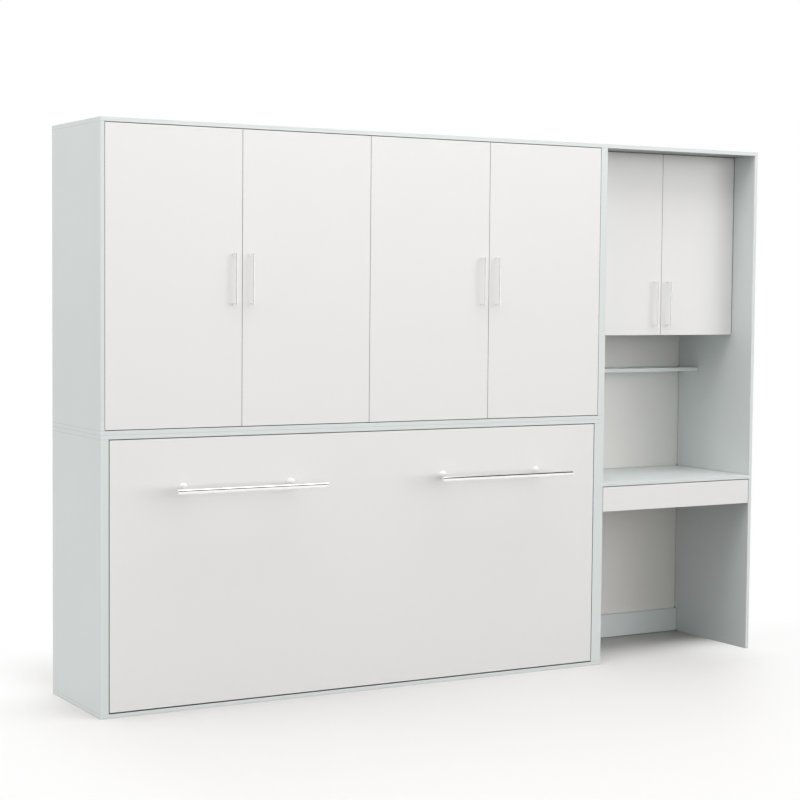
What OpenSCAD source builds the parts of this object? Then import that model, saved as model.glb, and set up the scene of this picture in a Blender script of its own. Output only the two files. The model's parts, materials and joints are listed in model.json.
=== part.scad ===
// Wall bed cabinet with a desk unit beside it. The bed folds down sideways about a
// long low hinge line, behind one plain front that carries two long bars: they are
// its handles when it is shut and its feet when it is open.
// Built from x = 0 at the left side, y = 0 at the front edges and z = 0 at the floor,
// then moved so that the origin is under the middle of the whole piece.

/* [Boards] */
// Thickness of the carcass boards
board_t = 16; // [12:0.5:25]
// Thickness of the doors and fronts
front_t = 16; // [14:0.5:22]
// Thickness of the back panels
back_t = 3; // [3:0.5:8]
// Depth of the boards, from the front edge to the back panel
board_d = 511; // [460:1:620]

/* [Bed unit] */
// Clear width between the sides of the upper cabinet
bed_inner_w = 2200; // [2160:1:2400]
// Height of the lower unit, which holds the bed
lower_h = 1046; // [1040:1:1140]
// Overall height of both units
total_h = 2200; // [2000:1:2400]
// Thickness of the doubled sides of the lower unit
lower_side_t = 32; // [20:1:40]

/* [Desk unit] */
// Clear width between the sides of the desk unit
desk_inner_w = 794; // [600:1:1000]
// Height of the desk top above the floor
desktop_h = 776; // [700:1:820]
// Underside of the wall cabinet above the desk
desk_cab_z = 1396; // [1300:1:1500]
// Setback of the desk cabinet doors behind the side edges
desk_door_set = 138; // [80:1:200]
// Depth of the open shelf in the niche
niche_shelf_d = 142; // [80:1:250]
// Underside of the open shelf in the niche
niche_shelf_z = 1223; // [1000:1:1300]
// Height of the skirting board at the back of the knee space
skirting_h = 103; // [60:1:140]
// Height of the skirting board above the floor
skirting_lift = 3; // [1:0.5:10]

/* [Doors] */
// Gap beside the doors and the drawer front
door_gap = 2; // [1.5:0.1:4]
// Gap above the doors, and below those of the upper cabinet
door_end_gap = 2.8; // [2:0.1:5]
// Clearance between a door and the edges behind it
door_rest = 0.3; // [0.2:0.1:1]
// Radius of the hinge cups
cup_r = 17.5; // [13:0.5:20]
// Depth of the hinge cups in a door
cup_depth = 12; // [8:0.5:12]
// Door edge to the rim of the hinge cup
cup_edge = 7.5; // [7.5:0.5:9]
// Door end to its first hinge
hinge_end = 95; // [60:1:160]

/* [Door handles] */
// Overall length of a handle
handle_len = 194; // [120:1:300]
// Radius of a handle bar
handle_r = 4; // [3.5:0.25:8]
// Reach of a handle bar's axis in front of the door
handle_reach = 28; // [22:0.5:40]
// Handle axis to the free edge of its door
handle_edge = 34; // [25:1:60]
// Lower end of the upper cabinet's handles above the floor
handle_z = 1523; // [1200:1:1700]
// Lower end of a desk door handle above the door's lower edge
desk_handle_lift = 38; // [20:1:200]

/* [Drawer] */
// Gap between the drawer front and the desk top
drawer_gap = 3.2; // [1.5:0.1:4]
// Height of the drawer front
drawer_front_h = 104; // [80:1:140]
// Length of the drawer box and its slides
drawer_d = 400; // [300:1:450]
// Height of the drawer box
drawer_box_h = 78; // [50:1:120]
// Thickness of the drawer box boards
drawer_t = 12; // [10:0.5:16]
// Thickness of the drawer bottom
drawer_bottom_t = 4; // [3:0.5:6]
// Room taken by a slide between drawer and cabinet
slide_w = 13; // [12.5:0.1:16]
// Height of a slide
slide_h = 36; // [27:0.5:46]

/* [Bed front] */
// Gap at the sides and the top of the bed front
bed_gap = 3.2; // [3:0.1:6]
// Gap under the bed front, which swings inwards there
bed_gap_low = 4.8; // [4.5:0.1:12]
// Setback of the fold hinge behind the face of the bed front
pivot_set = 30; // [26:1:34]
// Reach of the leg bars' axes in front of the bed front
leg_reach = 141; // [120:1:160]
// Radius of a leg bar
leg_r = 11; // [8:0.5:14]
// Length of a leg bar
leg_len = 617; // [500:1:800]
// Distance between the two posts of a leg bar
leg_post_pitch = 448; // [300:1:480]
// Bed front's end to the middle of its leg bar
leg_mid = 516; // [420:1:600]
// Top of the lower unit down to the leg bars when the bed is shut
leg_drop = 205; // [150:1:340]
// Clearance under the leg bars when the bed is open
leg_clear = 0.5; // [0.5:0.1:3]

/* [Bed frame] */
// Depth of the steel tubes
tube_d = 40; // [30:1:40]
// Width of the steel tubes
tube_w = 25; // [20:1:30]
// Wall of the steel tubes
tube_wall = 2; // [1.5:0.1:3]
// Room between the ends of the long rails and the cabinet sides
rail_room = 34; // [30:1:50]
// Edge of the bed front beyond the frame, above and below it
frame_lift = 40; // [30:1:50]
// Number of slats
slat_count = 14; // [10:1:18]
// Width of a slat
slat_w = 68; // [40:1:80]
// Thickness of a slat
slat_t = 8; // [6:0.5:10]
// Rise of a slat's middle above its ends
slat_bow = 6; // [3:0.5:10]
// Base of a slat holder under its slat
holder_base = 3; // [2:0.5:5]

/* [Mattress] */
// Frame's end beyond either end of the mattress
mattress_end = 50; // [30:1:80]
// Frame's edge beyond either side of the mattress
mattress_edge = 13; // [8:1:40]
// Thickness of the mattress at its crown
mattress_t = 170; // [120:1:180]
// Rise of the crown above the border
mattress_crown = 12; // [6:0.5:20]
// Draw-in of the sides between the corners
mattress_draw = 7; // [3:0.5:12]
// Thickness of the retaining straps
strap_t = 2; // [1.5:0.5:3]
// Width of the retaining straps
strap_w = 40; // [30:1:60]

/* [Pivots and gas struts] */
// Radius of the pivot pins
pin_r = 6; // [5:0.25:7]
// Radius of the ball studs
stud_r = 5; // [4:0.25:5]
// Running clearance round pins and studs
pin_clear = 0.05; // [0.02:0.01:0.1]
// Thickness of the cabinet's pivot plates
cab_plate_t = 3; // [2:0.5:3.5]
// Thickness of the bed's pivot plates
bed_plate_t = 5; // [4:0.5:6]
// Fold hinge to either end of a gas strut
strut_arm = 140; // [130:1:150]
// Angle of the strut's bed end below the horizontal, bed shut
strut_low_deg = 75; // [70:1:78]
// Radius of a strut's cylinder
strut_r = 9; // [8:0.25:9]
// Radius of a strut's rod
rod_r = 4; // [3:0.25:5]
// Length of a strut's cylinder from its stud
strut_tube_len = 144; // [138:1:146]
// Length of a strut's rod from its stud
rod_len = 150; // [142:1:150]

/* [Cabinet fittings] */
// Number of shelves in each half of the upper cabinet
shelf_rows = 2; // [1:1:3]
// Setback of the shelves behind the doors
shelf_set = 12; // [4:1:60]
// Height of the wall rails
rail_h = 80; // [60:1:120]
// Radius of the wall rails' screw holes
wall_hole_r = 4; // [3:0.25:6]
// Distance between the two screw holes of a wall rail
wall_hole_pitch = 600; // [300:1:640]

/* [Hidden] */
$fn = 48;

carcass_color = "#d3d8d6";
front_color = "#f0eeeb";
steel_color = "#b9bcc0";
chrome_color = "#e6e8ea";

// How far a cutter runs out past what it cuts
over = 1;

// Widths and heights along the piece
bed_w = bed_inner_w + 2 * board_t;
desk_w = desk_inner_w + 2 * board_t;
total_w = bed_w + desk_w;
total_d = board_d + back_t;
desk_x = bed_w + board_t;
desk_x2 = desk_x + desk_inner_w;
upper_z = lower_h + board_t;
upper_top_z = total_h - board_t;
bay_w = bed_inner_w / 2;
leg_front = leg_reach + leg_r;
leg_z = lower_h - leg_drop;

// The fold hinge: the bars reach the floor when the bed is down
pivot_y = pivot_set;
pivot_z = leg_front + leg_clear + pivot_set;

// The bed, in its shut place
bed_x = lower_side_t + bed_gap;
bed_x2 = bed_w - bed_x;
bed_z = board_t + bed_gap_low;
bed_z2 = lower_h - board_t - bed_gap;
rail_x = lower_side_t + rail_room;
rail_len = bed_w - 2 * rail_x;
frame_z = bed_z + frame_lift;
frame_z2 = bed_z2 - frame_lift;
frame_w = frame_z2 - frame_z;
frame_y2 = front_t + tube_d;
slat_y = frame_y2 + holder_base;
slat_end = 8;
mattress_lift = 0.3;
mattress_len = rail_len - 2 * mattress_end;
mattress_w = frame_w - 2 * mattress_edge;
mattress_y = slat_y + slat_bow + slat_t + mattress_lift;
mattress_mid_z = (frame_z + frame_z2) / 2;
leg_mids = [bed_x + leg_mid, bed_x2 - leg_mid];

// The gas struts swing in a plane between the bed frame and the cabinet side
strut_x = (lower_side_t + rail_x) / 2;
strut_high = [pivot_y, pivot_z + strut_arm];
strut_low = [pivot_y + strut_arm * cos(strut_low_deg), pivot_z - strut_arm * sin(strut_low_deg)];
strut_span = strut_low - strut_high;
strut_angle = atan2(strut_span[1], strut_span[0]);
eye_w = 9;
eye_wall = 3;
eye_r = stud_r + eye_wall;

// Doors: [left x, right x, bottom z, top z, front y, hinge side (-1 left, 1 right)]
half_gap = door_gap / 2;
bay_mids = [board_t, board_t + bay_w / 2, board_t + bay_w, board_t + 1.5 * bay_w, board_t + 2 * bay_w];
low_z = upper_z + door_end_gap;
high_z = upper_top_z - door_end_gap;
desk_mid = (desk_x + desk_x2) / 2;
DOORS = [
    [bay_mids[0] + door_gap, bay_mids[1] - half_gap, low_z, high_z, 0, -1],
    [bay_mids[1] + half_gap, bay_mids[2] - half_gap, low_z, high_z, 0, 1],
    [bay_mids[2] + half_gap, bay_mids[3] - half_gap, low_z, high_z, 0, -1],
    [bay_mids[3] + half_gap, bay_mids[4] - door_gap, low_z, high_z, 0, 1],
    [desk_x + door_gap, desk_mid - half_gap, desk_cab_z, high_z, desk_door_set, -1],
    [desk_mid + half_gap, desk_x2 - door_gap, desk_cab_z, high_z, desk_door_set, 1]];
partition_y = front_t + door_rest;
desk_carcass_y = desk_door_set + front_t + door_rest;
shelf_y = front_t + shelf_set;

// Moves the piece so that the origin is under the middle of its whole box
module place() {
    translate([-total_w / 2, (leg_front - total_d) / 2, 0])
        children();
}

module board(x, x2, y, y2, z, z2) {
    translate([x, y, z])
        cube([x2 - x, y2 - y, z2 - z]);
}

// A round bar between two heights, widths or depths
module bar_x(x, x2, y, z, r) {
    translate([x, y, z])
        rotate([0, 90, 0])
            cylinder(h = x2 - x, r = r);
}

module bar_y(x, y, y2, z, r) {
    translate([x, y, z])
        rotate([-90, 0, 0])
            cylinder(h = y2 - y, r = r);
}

module bar_z(x, y, z, z2, r) {
    translate([x, y, z])
        cylinder(h = z2 - z, r = r);
}

// The same piece again at the other end of the bed unit
module both_ends() {
    children();
    translate([bed_w, 0, 0])
        mirror([1, 0, 0])
            children();
}

// ---- Carcass of the lower unit ----

module lower_bottom() {
    color(carcass_color)
        board(0, bed_w, 0, board_d, 0, board_t);
}

module lower_sides() {
    color(carcass_color)
        both_ends()
            board(0, lower_side_t, 0, board_d, board_t, lower_h - board_t);
}

module lower_top() {
    color(carcass_color)
        board(0, bed_w, 0, board_d, lower_h - board_t, lower_h);
}

module lower_back() {
    color(front_color)
        board(0, bed_w, board_d, total_d, 0, lower_h);
}

// ---- Carcass of the upper cabinet ----

module upper_bottom() {
    color(carcass_color)
        board(0, bed_w, 0, board_d, lower_h, upper_z);
}

module upper_sides() {
    color(carcass_color)
        both_ends()
            board(0, board_t, 0, board_d, upper_z, upper_top_z);
}

module upper_partition() {
    color(carcass_color)
        board((bed_w - board_t) / 2, (bed_w + board_t) / 2, partition_y, board_d, upper_z, upper_top_z);
}

module upper_top() {
    color(carcass_color)
        board(0, bed_w, 0, board_d, upper_top_z, total_h);
}

module upper_back() {
    color(front_color)
        difference() {
            board(0, bed_w, board_d, total_d, lower_h, total_h);
            wall_holes(bay_centres);
        }
}

// Clear heights between the shelves are equal
bay_h = (upper_top_z - upper_z - shelf_rows * board_t) / (shelf_rows + 1);
shelf_zs = [for (row = [1:shelf_rows]) upper_z + row * bay_h + (row - 1) * board_t];
bay_x = [[board_t, (bed_w - board_t) / 2], [(bed_w + board_t) / 2, bed_w - board_t]];
bay_centres = [for (bay = bay_x) (bay[0] + bay[1]) / 2];
desk_shelf_z = (desk_cab_z + board_t + upper_top_z - board_t) / 2;
desk_shelf_y = desk_carcass_y + shelf_set;

module upper_shelves() {
    color(carcass_color)
        for (bay = bay_x, z = shelf_zs)
            board(bay[0], bay[1], shelf_y, board_d, z, z + board_t);
}

// Small tapered blocks under the shelf ends
support_l = 24;
support_w = 10;
support_h = 12;
support_in = 60;

module shelf_support(x, y, z, side) {
    translate([x, y, z - support_h])
        scale([side, 1, 1])
            linear_extrude(support_h)
                polygon([[0, -support_l / 2], [support_w, -support_l / 4],
                    [support_w, support_l / 4], [0, support_l / 2]]);
}

module shelf_supports() {
    color(chrome_color) {
        for (bay = bay_x, z = shelf_zs, y = [shelf_y + support_in, board_d - support_in], end = [0, 1])
            shelf_support(bay[end], y, z, 1 - 2 * end);
        for (y = [desk_shelf_y + support_in, board_d - support_in], end = [0, 1])
            shelf_support([desk_x, desk_x2][end], y, desk_shelf_z, 1 - 2 * end);
    }
}

// ---- Wall rails, screwed to the wall through the backs ----

wall_hole_z = upper_top_z - rail_h / 2;

module wall_holes(centres) {
    for (x = centres, side = [-0.5, 0.5])
        bar_y(x + side * wall_hole_pitch, board_d - 2 * board_t, total_d + over, wall_hole_z, wall_hole_r);
}

module wall_rails() {
    color(carcass_color)
        difference() {
            union() {
                for (bay = bay_x)
                    board(bay[0], bay[1], board_d - board_t, board_d, upper_top_z - rail_h, upper_top_z);
                board(desk_x, desk_x2, board_d - board_t, board_d, upper_top_z - rail_h, upper_top_z);
            }
            wall_holes(concat(bay_centres, [desk_mid]));
        }
}

// ---- Carcass of the desk unit ----

module desk_side_left() {
    color(carcass_color)
        board(bed_w, desk_x, 0, board_d, 0, upper_top_z);
}

module desk_side_right() {
    color(carcass_color)
        board(desk_x2, total_w, 0, board_d, 0, upper_top_z);
}

module desk_cabinet_top() {
    color(carcass_color)
        board(bed_w, total_w, 0, board_d, upper_top_z, total_h);
}

module desk_back() {
    color(front_color)
        difference() {
            board(bed_w, total_w, board_d, total_d, 0, total_h);
            wall_holes([desk_mid]);
        }
}

module desk_cabinet_bottom() {
    color(carcass_color)
        board(desk_x, desk_x2, desk_carcass_y, board_d, desk_cab_z, desk_cab_z + board_t);
}

module desk_cabinet_shelf() {
    color(carcass_color)
        board(desk_x, desk_x2, desk_shelf_y, board_d, desk_shelf_z, desk_shelf_z + board_t);
}

module niche_shelf() {
    color(carcass_color)
        board(desk_x, desk_x2, board_d - niche_shelf_d, board_d, niche_shelf_z, niche_shelf_z + board_t);
}

module desktop() {
    color(carcass_color)
        board(desk_x, desk_x2, 0, board_d, desktop_h - board_t, desktop_h);
}

module desk_skirting() {
    color(carcass_color)
        board(desk_x, desk_x2, board_d - board_t, board_d, skirting_lift, skirting_lift + skirting_h);
}

// ---- Doors, their handles and their hinges ----

function door(n) = DOORS[n - 1];
function door_hinge_x(n) = door(n)[5] < 0 ? door(n)[0] : door(n)[1];
function door_handle_x(n) = door(n)[5] < 0 ? door(n)[1] - handle_edge : door(n)[0] + handle_edge;
function door_handle_z(n) = n < 5 ? handle_z : door(n)[2] + desk_handle_lift;
function door_hinge_zs(n) = n < 5
    ? [door(n)[2] + hinge_end, (door(n)[2] + door(n)[3]) / 2, door(n)[3] - hinge_end]
    : [door(n)[2] + hinge_end, door(n)[3] - hinge_end];

// Puts a hinge drawn for a left-hung door, about its front corner, on door n
module at_hinges(n) {
    for (z = door_hinge_zs(n))
        translate([door_hinge_x(n), door(n)[4], z])
            scale([-door(n)[5], 1, 1])
                children();
}

module door_panel(n) {
    color(front_color)
        difference() {
            board(door(n)[0], door(n)[1], door(n)[4], door(n)[4] + front_t, door(n)[2], door(n)[3]);
            at_hinges(n)
                bar_y(cup_edge + cup_r, front_t - cup_depth, front_t + over, 0, cup_r);
        }
}

module handle(n) {
    x = door_handle_x(n);
    y = door(n)[4];
    z = door_handle_z(n);
    color(chrome_color)
        union() {
            bar_z(x, y - handle_reach, z, z + handle_len, handle_r);
            for (end = [handle_r, handle_len - handle_r])
                bar_y(x, y - handle_reach, y, z + end, handle_r);
        }
}

// A cup with its flange, and the screw wings on the back of the door
cup_wall = 1;
flange_t = 1;
wing_r = 5;
wing_pitch = 45;
cup_fit = 0.05;

module hinge_cup() {
    middle = cup_edge + cup_r;
    difference() {
        union() {
            bar_y(middle, front_t - cup_depth, front_t + flange_t, 0, cup_r - cup_fit);
            translate([middle, front_t, 0])
                rotate([-90, 0, 0])
                    linear_extrude(flange_t)
                        hull()
                            for (side = [-0.5, 0.5])
                                translate([0, side * wing_pitch])
                                    circle(wing_r, $fn = 32);
        }
        bar_y(middle, front_t - cup_depth + cup_wall, front_t + flange_t + over, 0, cup_r - cup_wall);
    }
}

module hinge_cups(n) {
    color(steel_color)
        at_hinges(n)
            hinge_cup();
}

// An arm on its mounting plate, cranked into the cup of the shut door
arm_h = 12;
arm_back = 74;
arm_gap = 0.3;
arm_front = front_t + flange_t + arm_gap;
arm_t = 10;
nose = [16, 26, 11.5];
plate_h = 44;
plate_y = [32, 62];
plate_t = 2;

module hinge_arm() {
    wall = -door_gap;
    board(wall, wall + plate_t, plate_y[0], plate_y[1], -plate_h / 2, plate_h / 2);
    board(wall + plate_t, wall + plate_t + arm_t, arm_front, arm_back, -arm_h / 2, arm_h / 2);
    board(wall + plate_t, nose[1], arm_front, arm_front + arm_t, -arm_h / 2, arm_h / 2);
    board(nose[0], nose[1], nose[2], arm_front + over, -arm_h / 2, arm_h / 2);
}

module hinge_arms() {
    color(steel_color)
        for (n = [1:6])
            at_hinges(n)
                hinge_arm_on(n);
}

// The middle doors hang on the partition, whose face lies farther from them
module hinge_arm_on(n) {
    inset = n == 2 || n == 3 ? board_t / 2 - half_gap : -door_gap;
    translate([inset + door_gap, 0, 0])
        hinge_arm();
}

// ---- Drawer under the desk top ----

drawer_z2 = desktop_h - board_t - drawer_gap;
drawer_z = drawer_z2 - drawer_front_h;
drawer_x = desk_x + slide_w;
drawer_x2 = desk_x2 - slide_w;
box_z = drawer_z + (drawer_front_h - drawer_box_h) / 2;
box_y2 = front_t + drawer_d;
bottom_rise = 8;
bottom_groove = 6;
bottom_fit = 0.1;

module drawer_front() {
    color(front_color)
        board(desk_x + door_gap, desk_x2 - door_gap, 0, front_t, drawer_z, drawer_z2);
}

module drawer_plate(grow) {
    board(drawer_x + drawer_t - bottom_groove - grow, drawer_x2 - drawer_t + bottom_groove + grow,
        front_t - grow, box_y2 - drawer_t + bottom_groove + grow,
        box_z + bottom_rise - grow, box_z + bottom_rise + drawer_bottom_t + grow);
}

module drawer_box() {
    color(front_color)
        difference() {
            board(drawer_x, drawer_x2, front_t, box_y2, box_z, box_z + drawer_box_h);
            board(drawer_x + drawer_t, drawer_x2 - drawer_t, front_t - over, box_y2 - drawer_t,
                box_z - over, box_z + drawer_box_h + over);
            drawer_plate(bottom_fit);
        }
}

module drawer_bottom() {
    color(front_color)
        drawer_plate(0);
}

// A slide is three nested members; profiles are drawn across x and z, along y
slide_wall = 1.2;
slide_play = 0.6;
slide_z = box_z + drawer_box_h / 2;
slide_y = front_t + 4;
slide_y2 = box_y2;

// A channel that opens to +x, its web from x = 0
module channel(w, h, wall, lip) {
    translate([0, slide_y2, slide_z])
        rotate([90, 0, 0])
            linear_extrude(slide_y2 - slide_y)
                union() {
                    translate([0, -h / 2])
                        square([wall, h]);
                    for (side = [-1, 1])
                        scale([1, side])
                            translate([0, h / 2 - wall])
                                square([w, wall]);
                    for (side = [-1, 1])
                        scale([1, side])
                            translate([w - wall, h / 2 - wall - lip])
                                square([wall, lip + wall]);
                }
}

// The same slide at the other side of the drawer
module both_slides() {
    translate([desk_x, 0, 0])
        children();
    translate([desk_x2, 0, 0])
        mirror([1, 0, 0])
            children();
}

module drawer_slide_outers() {
    color(steel_color)
        both_slides()
            channel(slide_w - 3, slide_h, slide_wall, 3);
}

middle_x = slide_wall + slide_play;
middle_h = slide_h - 2 * (slide_wall + slide_play);
inner_h = middle_h - 2 * (slide_wall + slide_play);

module drawer_slide_middles() {
    color(steel_color)
        both_slides()
            translate([middle_x, 0, 0])
                channel(slide_w - 4 - 2 * middle_x, middle_h, slide_wall, 2);
}

// The inner member is a bar that joins the drawer side through the open channel
module drawer_slide_inners() {
    web_x = middle_x + slide_wall + slide_play;
    neck_h = inner_h - 2 * (2 + slide_play);
    color(steel_color)
        both_slides()
            union() {
                board(web_x, web_x + slide_wall, slide_y, slide_y2,
                    slide_z - inner_h / 2, slide_z + inner_h / 2);
                board(web_x, slide_w, slide_y, slide_y2, slide_z - neck_h / 2, slide_z + neck_h / 2);
            }
}

// ---- Bed front, with the bars that become its feet ----

leg_post_r = 9;
leg_base_r = 14;
leg_base_t = 3;
bolt_r = 4;
bolt_fit = 0.1;
bolt_in = 22;
bolt_head_r = 6.5;
bolt_head_t = 5.5;
bolt_y2 = front_t + tube_wall;
leg_post_xs = [for (mid = leg_mids, side = [-0.5, 0.5]) mid + side * leg_post_pitch];

module leg_bolt_holes() {
    for (x = leg_post_xs)
        bar_y(x, -bolt_in - over, bolt_y2 + over, leg_z, bolt_r + bolt_fit);
}

module bed_front() {
    color(front_color)
        difference() {
            board(bed_x, bed_x2, 0, front_t, bed_z, bed_z2);
            leg_bolt_holes();
        }
}

module leg_bars() {
    color(chrome_color)
        difference() {
            union() {
                for (mid = leg_mids)
                    bar_x(mid - leg_len / 2, mid + leg_len / 2, -leg_reach, leg_z, leg_r);
                for (x = leg_post_xs) {
                    bar_y(x, -leg_reach, 0, leg_z, leg_post_r);
                    bar_y(x, -leg_base_t, 0, leg_z, leg_base_r);
                }
            }
            leg_bolt_holes();
        }
}

module leg_bolts() {
    color(steel_color)
        for (x = leg_post_xs)
            union() {
                bar_y(x, -bolt_in, bolt_y2 + bolt_head_t / 2, leg_z, bolt_r);
                bar_y(x, bolt_y2, bolt_y2 + bolt_head_t, leg_z, bolt_head_r);
            }
}

// ---- Bed frame: two long rails with cross tubes between them ----

module frame_rails() {
    color(steel_color)
        for (z = [frame_z, frame_z2 - tube_w])
            difference() {
                board(rail_x, rail_x + rail_len, front_t, frame_y2, z, z + tube_w);
                board(rail_x - over, rail_x + rail_len + over, front_t + tube_wall, frame_y2 - tube_wall,
                    z + tube_wall, z + tube_w - tube_wall);
            }
}

cross_xs = concat([rail_x + tube_w / 2], leg_post_xs, [rail_x + rail_len - tube_w / 2]);

module frame_cross_tubes() {
    z = frame_z + tube_w;
    z2 = frame_z2 - tube_w;
    color(steel_color)
        difference() {
            for (x = cross_xs)
                difference() {
                    board(x - tube_w / 2, x + tube_w / 2, front_t, frame_y2, z, z2);
                    board(x - tube_w / 2 + tube_wall, x + tube_w / 2 - tube_wall,
                        front_t + tube_wall, frame_y2 - tube_wall, z - over, z2 + over);
                }
            leg_bolt_holes();
        }
}

// ---- Sprung slats in their holders ----

slat_margin = 60;
slat_pitch = (mattress_len - 2 * slat_margin) / (slat_count - 1);
slat_xs = [for (i = [0:slat_count - 1]) (bed_w - mattress_len) / 2 + slat_margin + i * slat_pitch];
slat_z = frame_z + slat_end;
slat_z2 = frame_z2 - slat_end;
slat_steps = 12;
holder_wall = 3;
holder_play = 1;
holder_z = 3;
holder_len = 28;

// Extrudes a profile drawn across y and z along x
module along_x(x, x2) {
    translate([x, 0, 0])
        rotate([90, 0, 90])
            linear_extrude(x2 - x)
                children();
}

function bow(i, rise) = [slat_y + rise + slat_bow * 4 * (i / slat_steps) * (1 - i / slat_steps),
    slat_z + (slat_z2 - slat_z) * i / slat_steps];

module slats() {
    color("#e0c9a0")
        for (x = slat_xs)
            along_x(x - slat_w / 2, x + slat_w / 2)
                polygon(concat([for (i = [0:slat_steps]) bow(i, 0)],
                    [for (i = [slat_steps:-1:0]) bow(i, slat_t)]));
}

module slat_holder(x) {
    difference() {
        board(x - slat_w / 2 - holder_wall, x + slat_w / 2 + holder_wall, frame_y2,
            slat_y + slat_t + holder_play + holder_wall,
            slat_z - holder_wall - holder_play, slat_z + holder_len);
        board(x - slat_w / 2 - holder_play, x + slat_w / 2 + holder_play, slat_y,
            slat_y + slat_t + holder_play, slat_z - holder_play, slat_z + holder_len + over);
    }
}

module slat_holders() {
    color("#3c3f42")
        for (x = slat_xs) {
            slat_holder(x);
            translate([0, 0, frame_z + frame_z2])
                mirror([0, 0, 1])
                    slat_holder(x);
        }
}

// ---- Mattress: crowned faces, a sewn border and sides drawn in between the corners ----

outline_steps = 48;
corner_power = 0.16;
border_r = 14;
border_t = mattress_t - mattress_crown;

function bulge(v) = sign(v) * pow(abs(v), corner_power);

// One point of the outline at angle a, inset from the edge and then scaled
function outline_point(a, inset, share) =
    let (u = bulge(cos(a)), v = bulge(sin(a)),
        hx = mattress_len / 2 - inset, hz = mattress_w / 2 - inset)
    [share * (hx * u - mattress_draw * sign(u) * (1 - v * v) * abs(u)),
        share * (hz * v - mattress_draw * sign(v) * (1 - u * u) * abs(v))];

// Each ring: [inset, share of the outline, height]
border_ease = border_r / 9;
border_rings = [[border_r, 0.5, 0], [border_r, 0.97, 0], [border_r / 2, 1, border_ease],
    [border_ease, 1, border_r / 2], [0, 1, border_r], [mattress_draw, 1, border_t / 2],
    [0, 1, border_t - border_r], [border_ease, 1, border_t - border_r / 2],
    [border_r / 2, 1, border_t - border_ease]];
seam_share = 0.93;
seam_drop = 4;
crown_shares = [0.985, 0.96, seam_share, 0.9, 0.8, 0.6, 0.35];
crown_rings = [for (s = crown_shares)
    [border_r, s, border_t + mattress_crown * (1 - s * s) - (s == seam_share ? seam_drop : 0)]];
mattress_rings = concat(border_rings, crown_rings);

module mattress() {
    rings = mattress_rings;
    n = outline_steps;
    last = len(rings) - 1;
    points = concat(
        [for (ring = rings, i = [0:n - 1])
            let (p = outline_point((i + 0.5) * 360 / n, ring[0], ring[1]))
            [bed_w / 2 + p[0], mattress_y + ring[2], mattress_mid_z + p[1]]],
        [[bed_w / 2, mattress_y, mattress_mid_z], [bed_w / 2, mattress_y + mattress_t, mattress_mid_z]]);
    sides = [for (r = [0:last - 1], i = [0:n - 1])
        let (a = r * n + i, b = r * n + (i + 1) % n)
        each [[a, b, a + n], [b, b + n, a + n]]];
    low_mid = (last + 1) * n;
    caps = [for (i = [0:n - 1])
        let (a = last * n + i, b = last * n + (i + 1) % n)
        each [[(i + 1) % n, i, low_mid], [a, b, low_mid + 1]]];
    color("#f4f3ef")
        polyhedron(points, concat(sides, caps), convexity = 4);
}

// ---- Straps that hold the mattress while the bed is up ----

strap_corner_r = 12;
strap_start = front_t + tube_d / 2;
strap_spread = 1000;

module strap_corner(y, z, up) {
    translate([y, z])
        scale([1, up])
            intersection() {
                difference() {
                    circle(strap_corner_r + strap_t);
                    circle(strap_corner_r);
                }
                square(strap_corner_r + strap_t);
            }
}

module mattress_straps() {
    y = mattress_y + mattress_t + mattress_lift;
    corner_y = y - strap_corner_r;
    color("#55585c")
        for (side = [-0.5, 0.5])
            along_x((bed_w - strap_w) / 2 + side * strap_spread,
                    (bed_w + strap_w) / 2 + side * strap_spread)
                union() {
                    translate([strap_start, frame_z2])
                        square([corner_y - strap_start, strap_t]);
                    translate([strap_start, frame_z - strap_t])
                        square([corner_y - strap_start, strap_t]);
                    translate([y, frame_z + strap_corner_r])
                        square([strap_t, frame_w - 2 * strap_corner_r]);
                    strap_corner(corner_y, frame_z2 - strap_corner_r, 1);
                    strap_corner(corner_y, frame_z + strap_corner_r, -1);
                }
}

// ---- Fold hinge: cabinet plates with their pins, and the bed's plates ----

plate_r = 20;
plate_seat = 0.2;
bed_plate_r = pivot_set - front_t - plate_seat;
stud_head_r = 7;
stud_head_t = 2;
stud_gap = 0.2;
tab_h = 120;
link_waist = 0.5;

// A flat link with round ends between two points of the y-z plane, its sides drawn in
// a little so that they meet the round ends at an edge
module link(a, b, r) {
    span = b - a;
    translate(a)
        circle(r);
    translate(b)
        circle(r);
    translate(a)
        rotate(atan2(span[1], span[0]))
            translate([0, link_waist - r])
                square([norm(span), 2 * (r - link_waist)]);
}

module pivot_brackets() {
    stud_x = strut_x + eye_w / 2 + stud_gap;
    plate_mid = lower_side_t + cab_plate_t / 2;
    y = strut_high[0];
    z = strut_high[1];
    color(steel_color)
        both_ends()
            union() {
                along_x(lower_side_t, lower_side_t + cab_plate_t)
                    link([pivot_y, pivot_z], strut_high, plate_r);
                bar_x(plate_mid, rail_x - stud_gap, pivot_y, pivot_z, pin_r);
                bar_x(plate_mid, stud_x + stud_head_t / 2, y, z, stud_r);
                bar_x(stud_x, stud_x + stud_head_t, y, z, stud_head_r);
            }
}

module bed_pivot_plates() {
    plate_x = rail_x - bed_plate_t;
    stud_x = strut_x - eye_w / 2 - stud_gap;
    y = strut_low[0];
    z = strut_low[1];
    color(steel_color)
        both_ends()
            difference() {
                union() {
                    along_x(plate_x, rail_x) {
                        link([pivot_y, pivot_z], strut_low, bed_plate_r);
                        translate([front_t, pivot_z - tab_h / 2])
                            square([tube_d, tab_h]);
                    }
                    bar_x(stud_x - stud_head_t / 2, plate_x + bed_plate_t / 2, y, z, stud_r);
                    bar_x(stud_x - stud_head_t, stud_x, y, z, stud_head_r);
                }
                bar_x(plate_x - over, rail_x + over, pivot_y, pivot_z, pin_r + pin_clear);
            }
}

stop_l = 26;
stop_t = 20;
stop_h = 40;
stop_down = 50;

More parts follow.
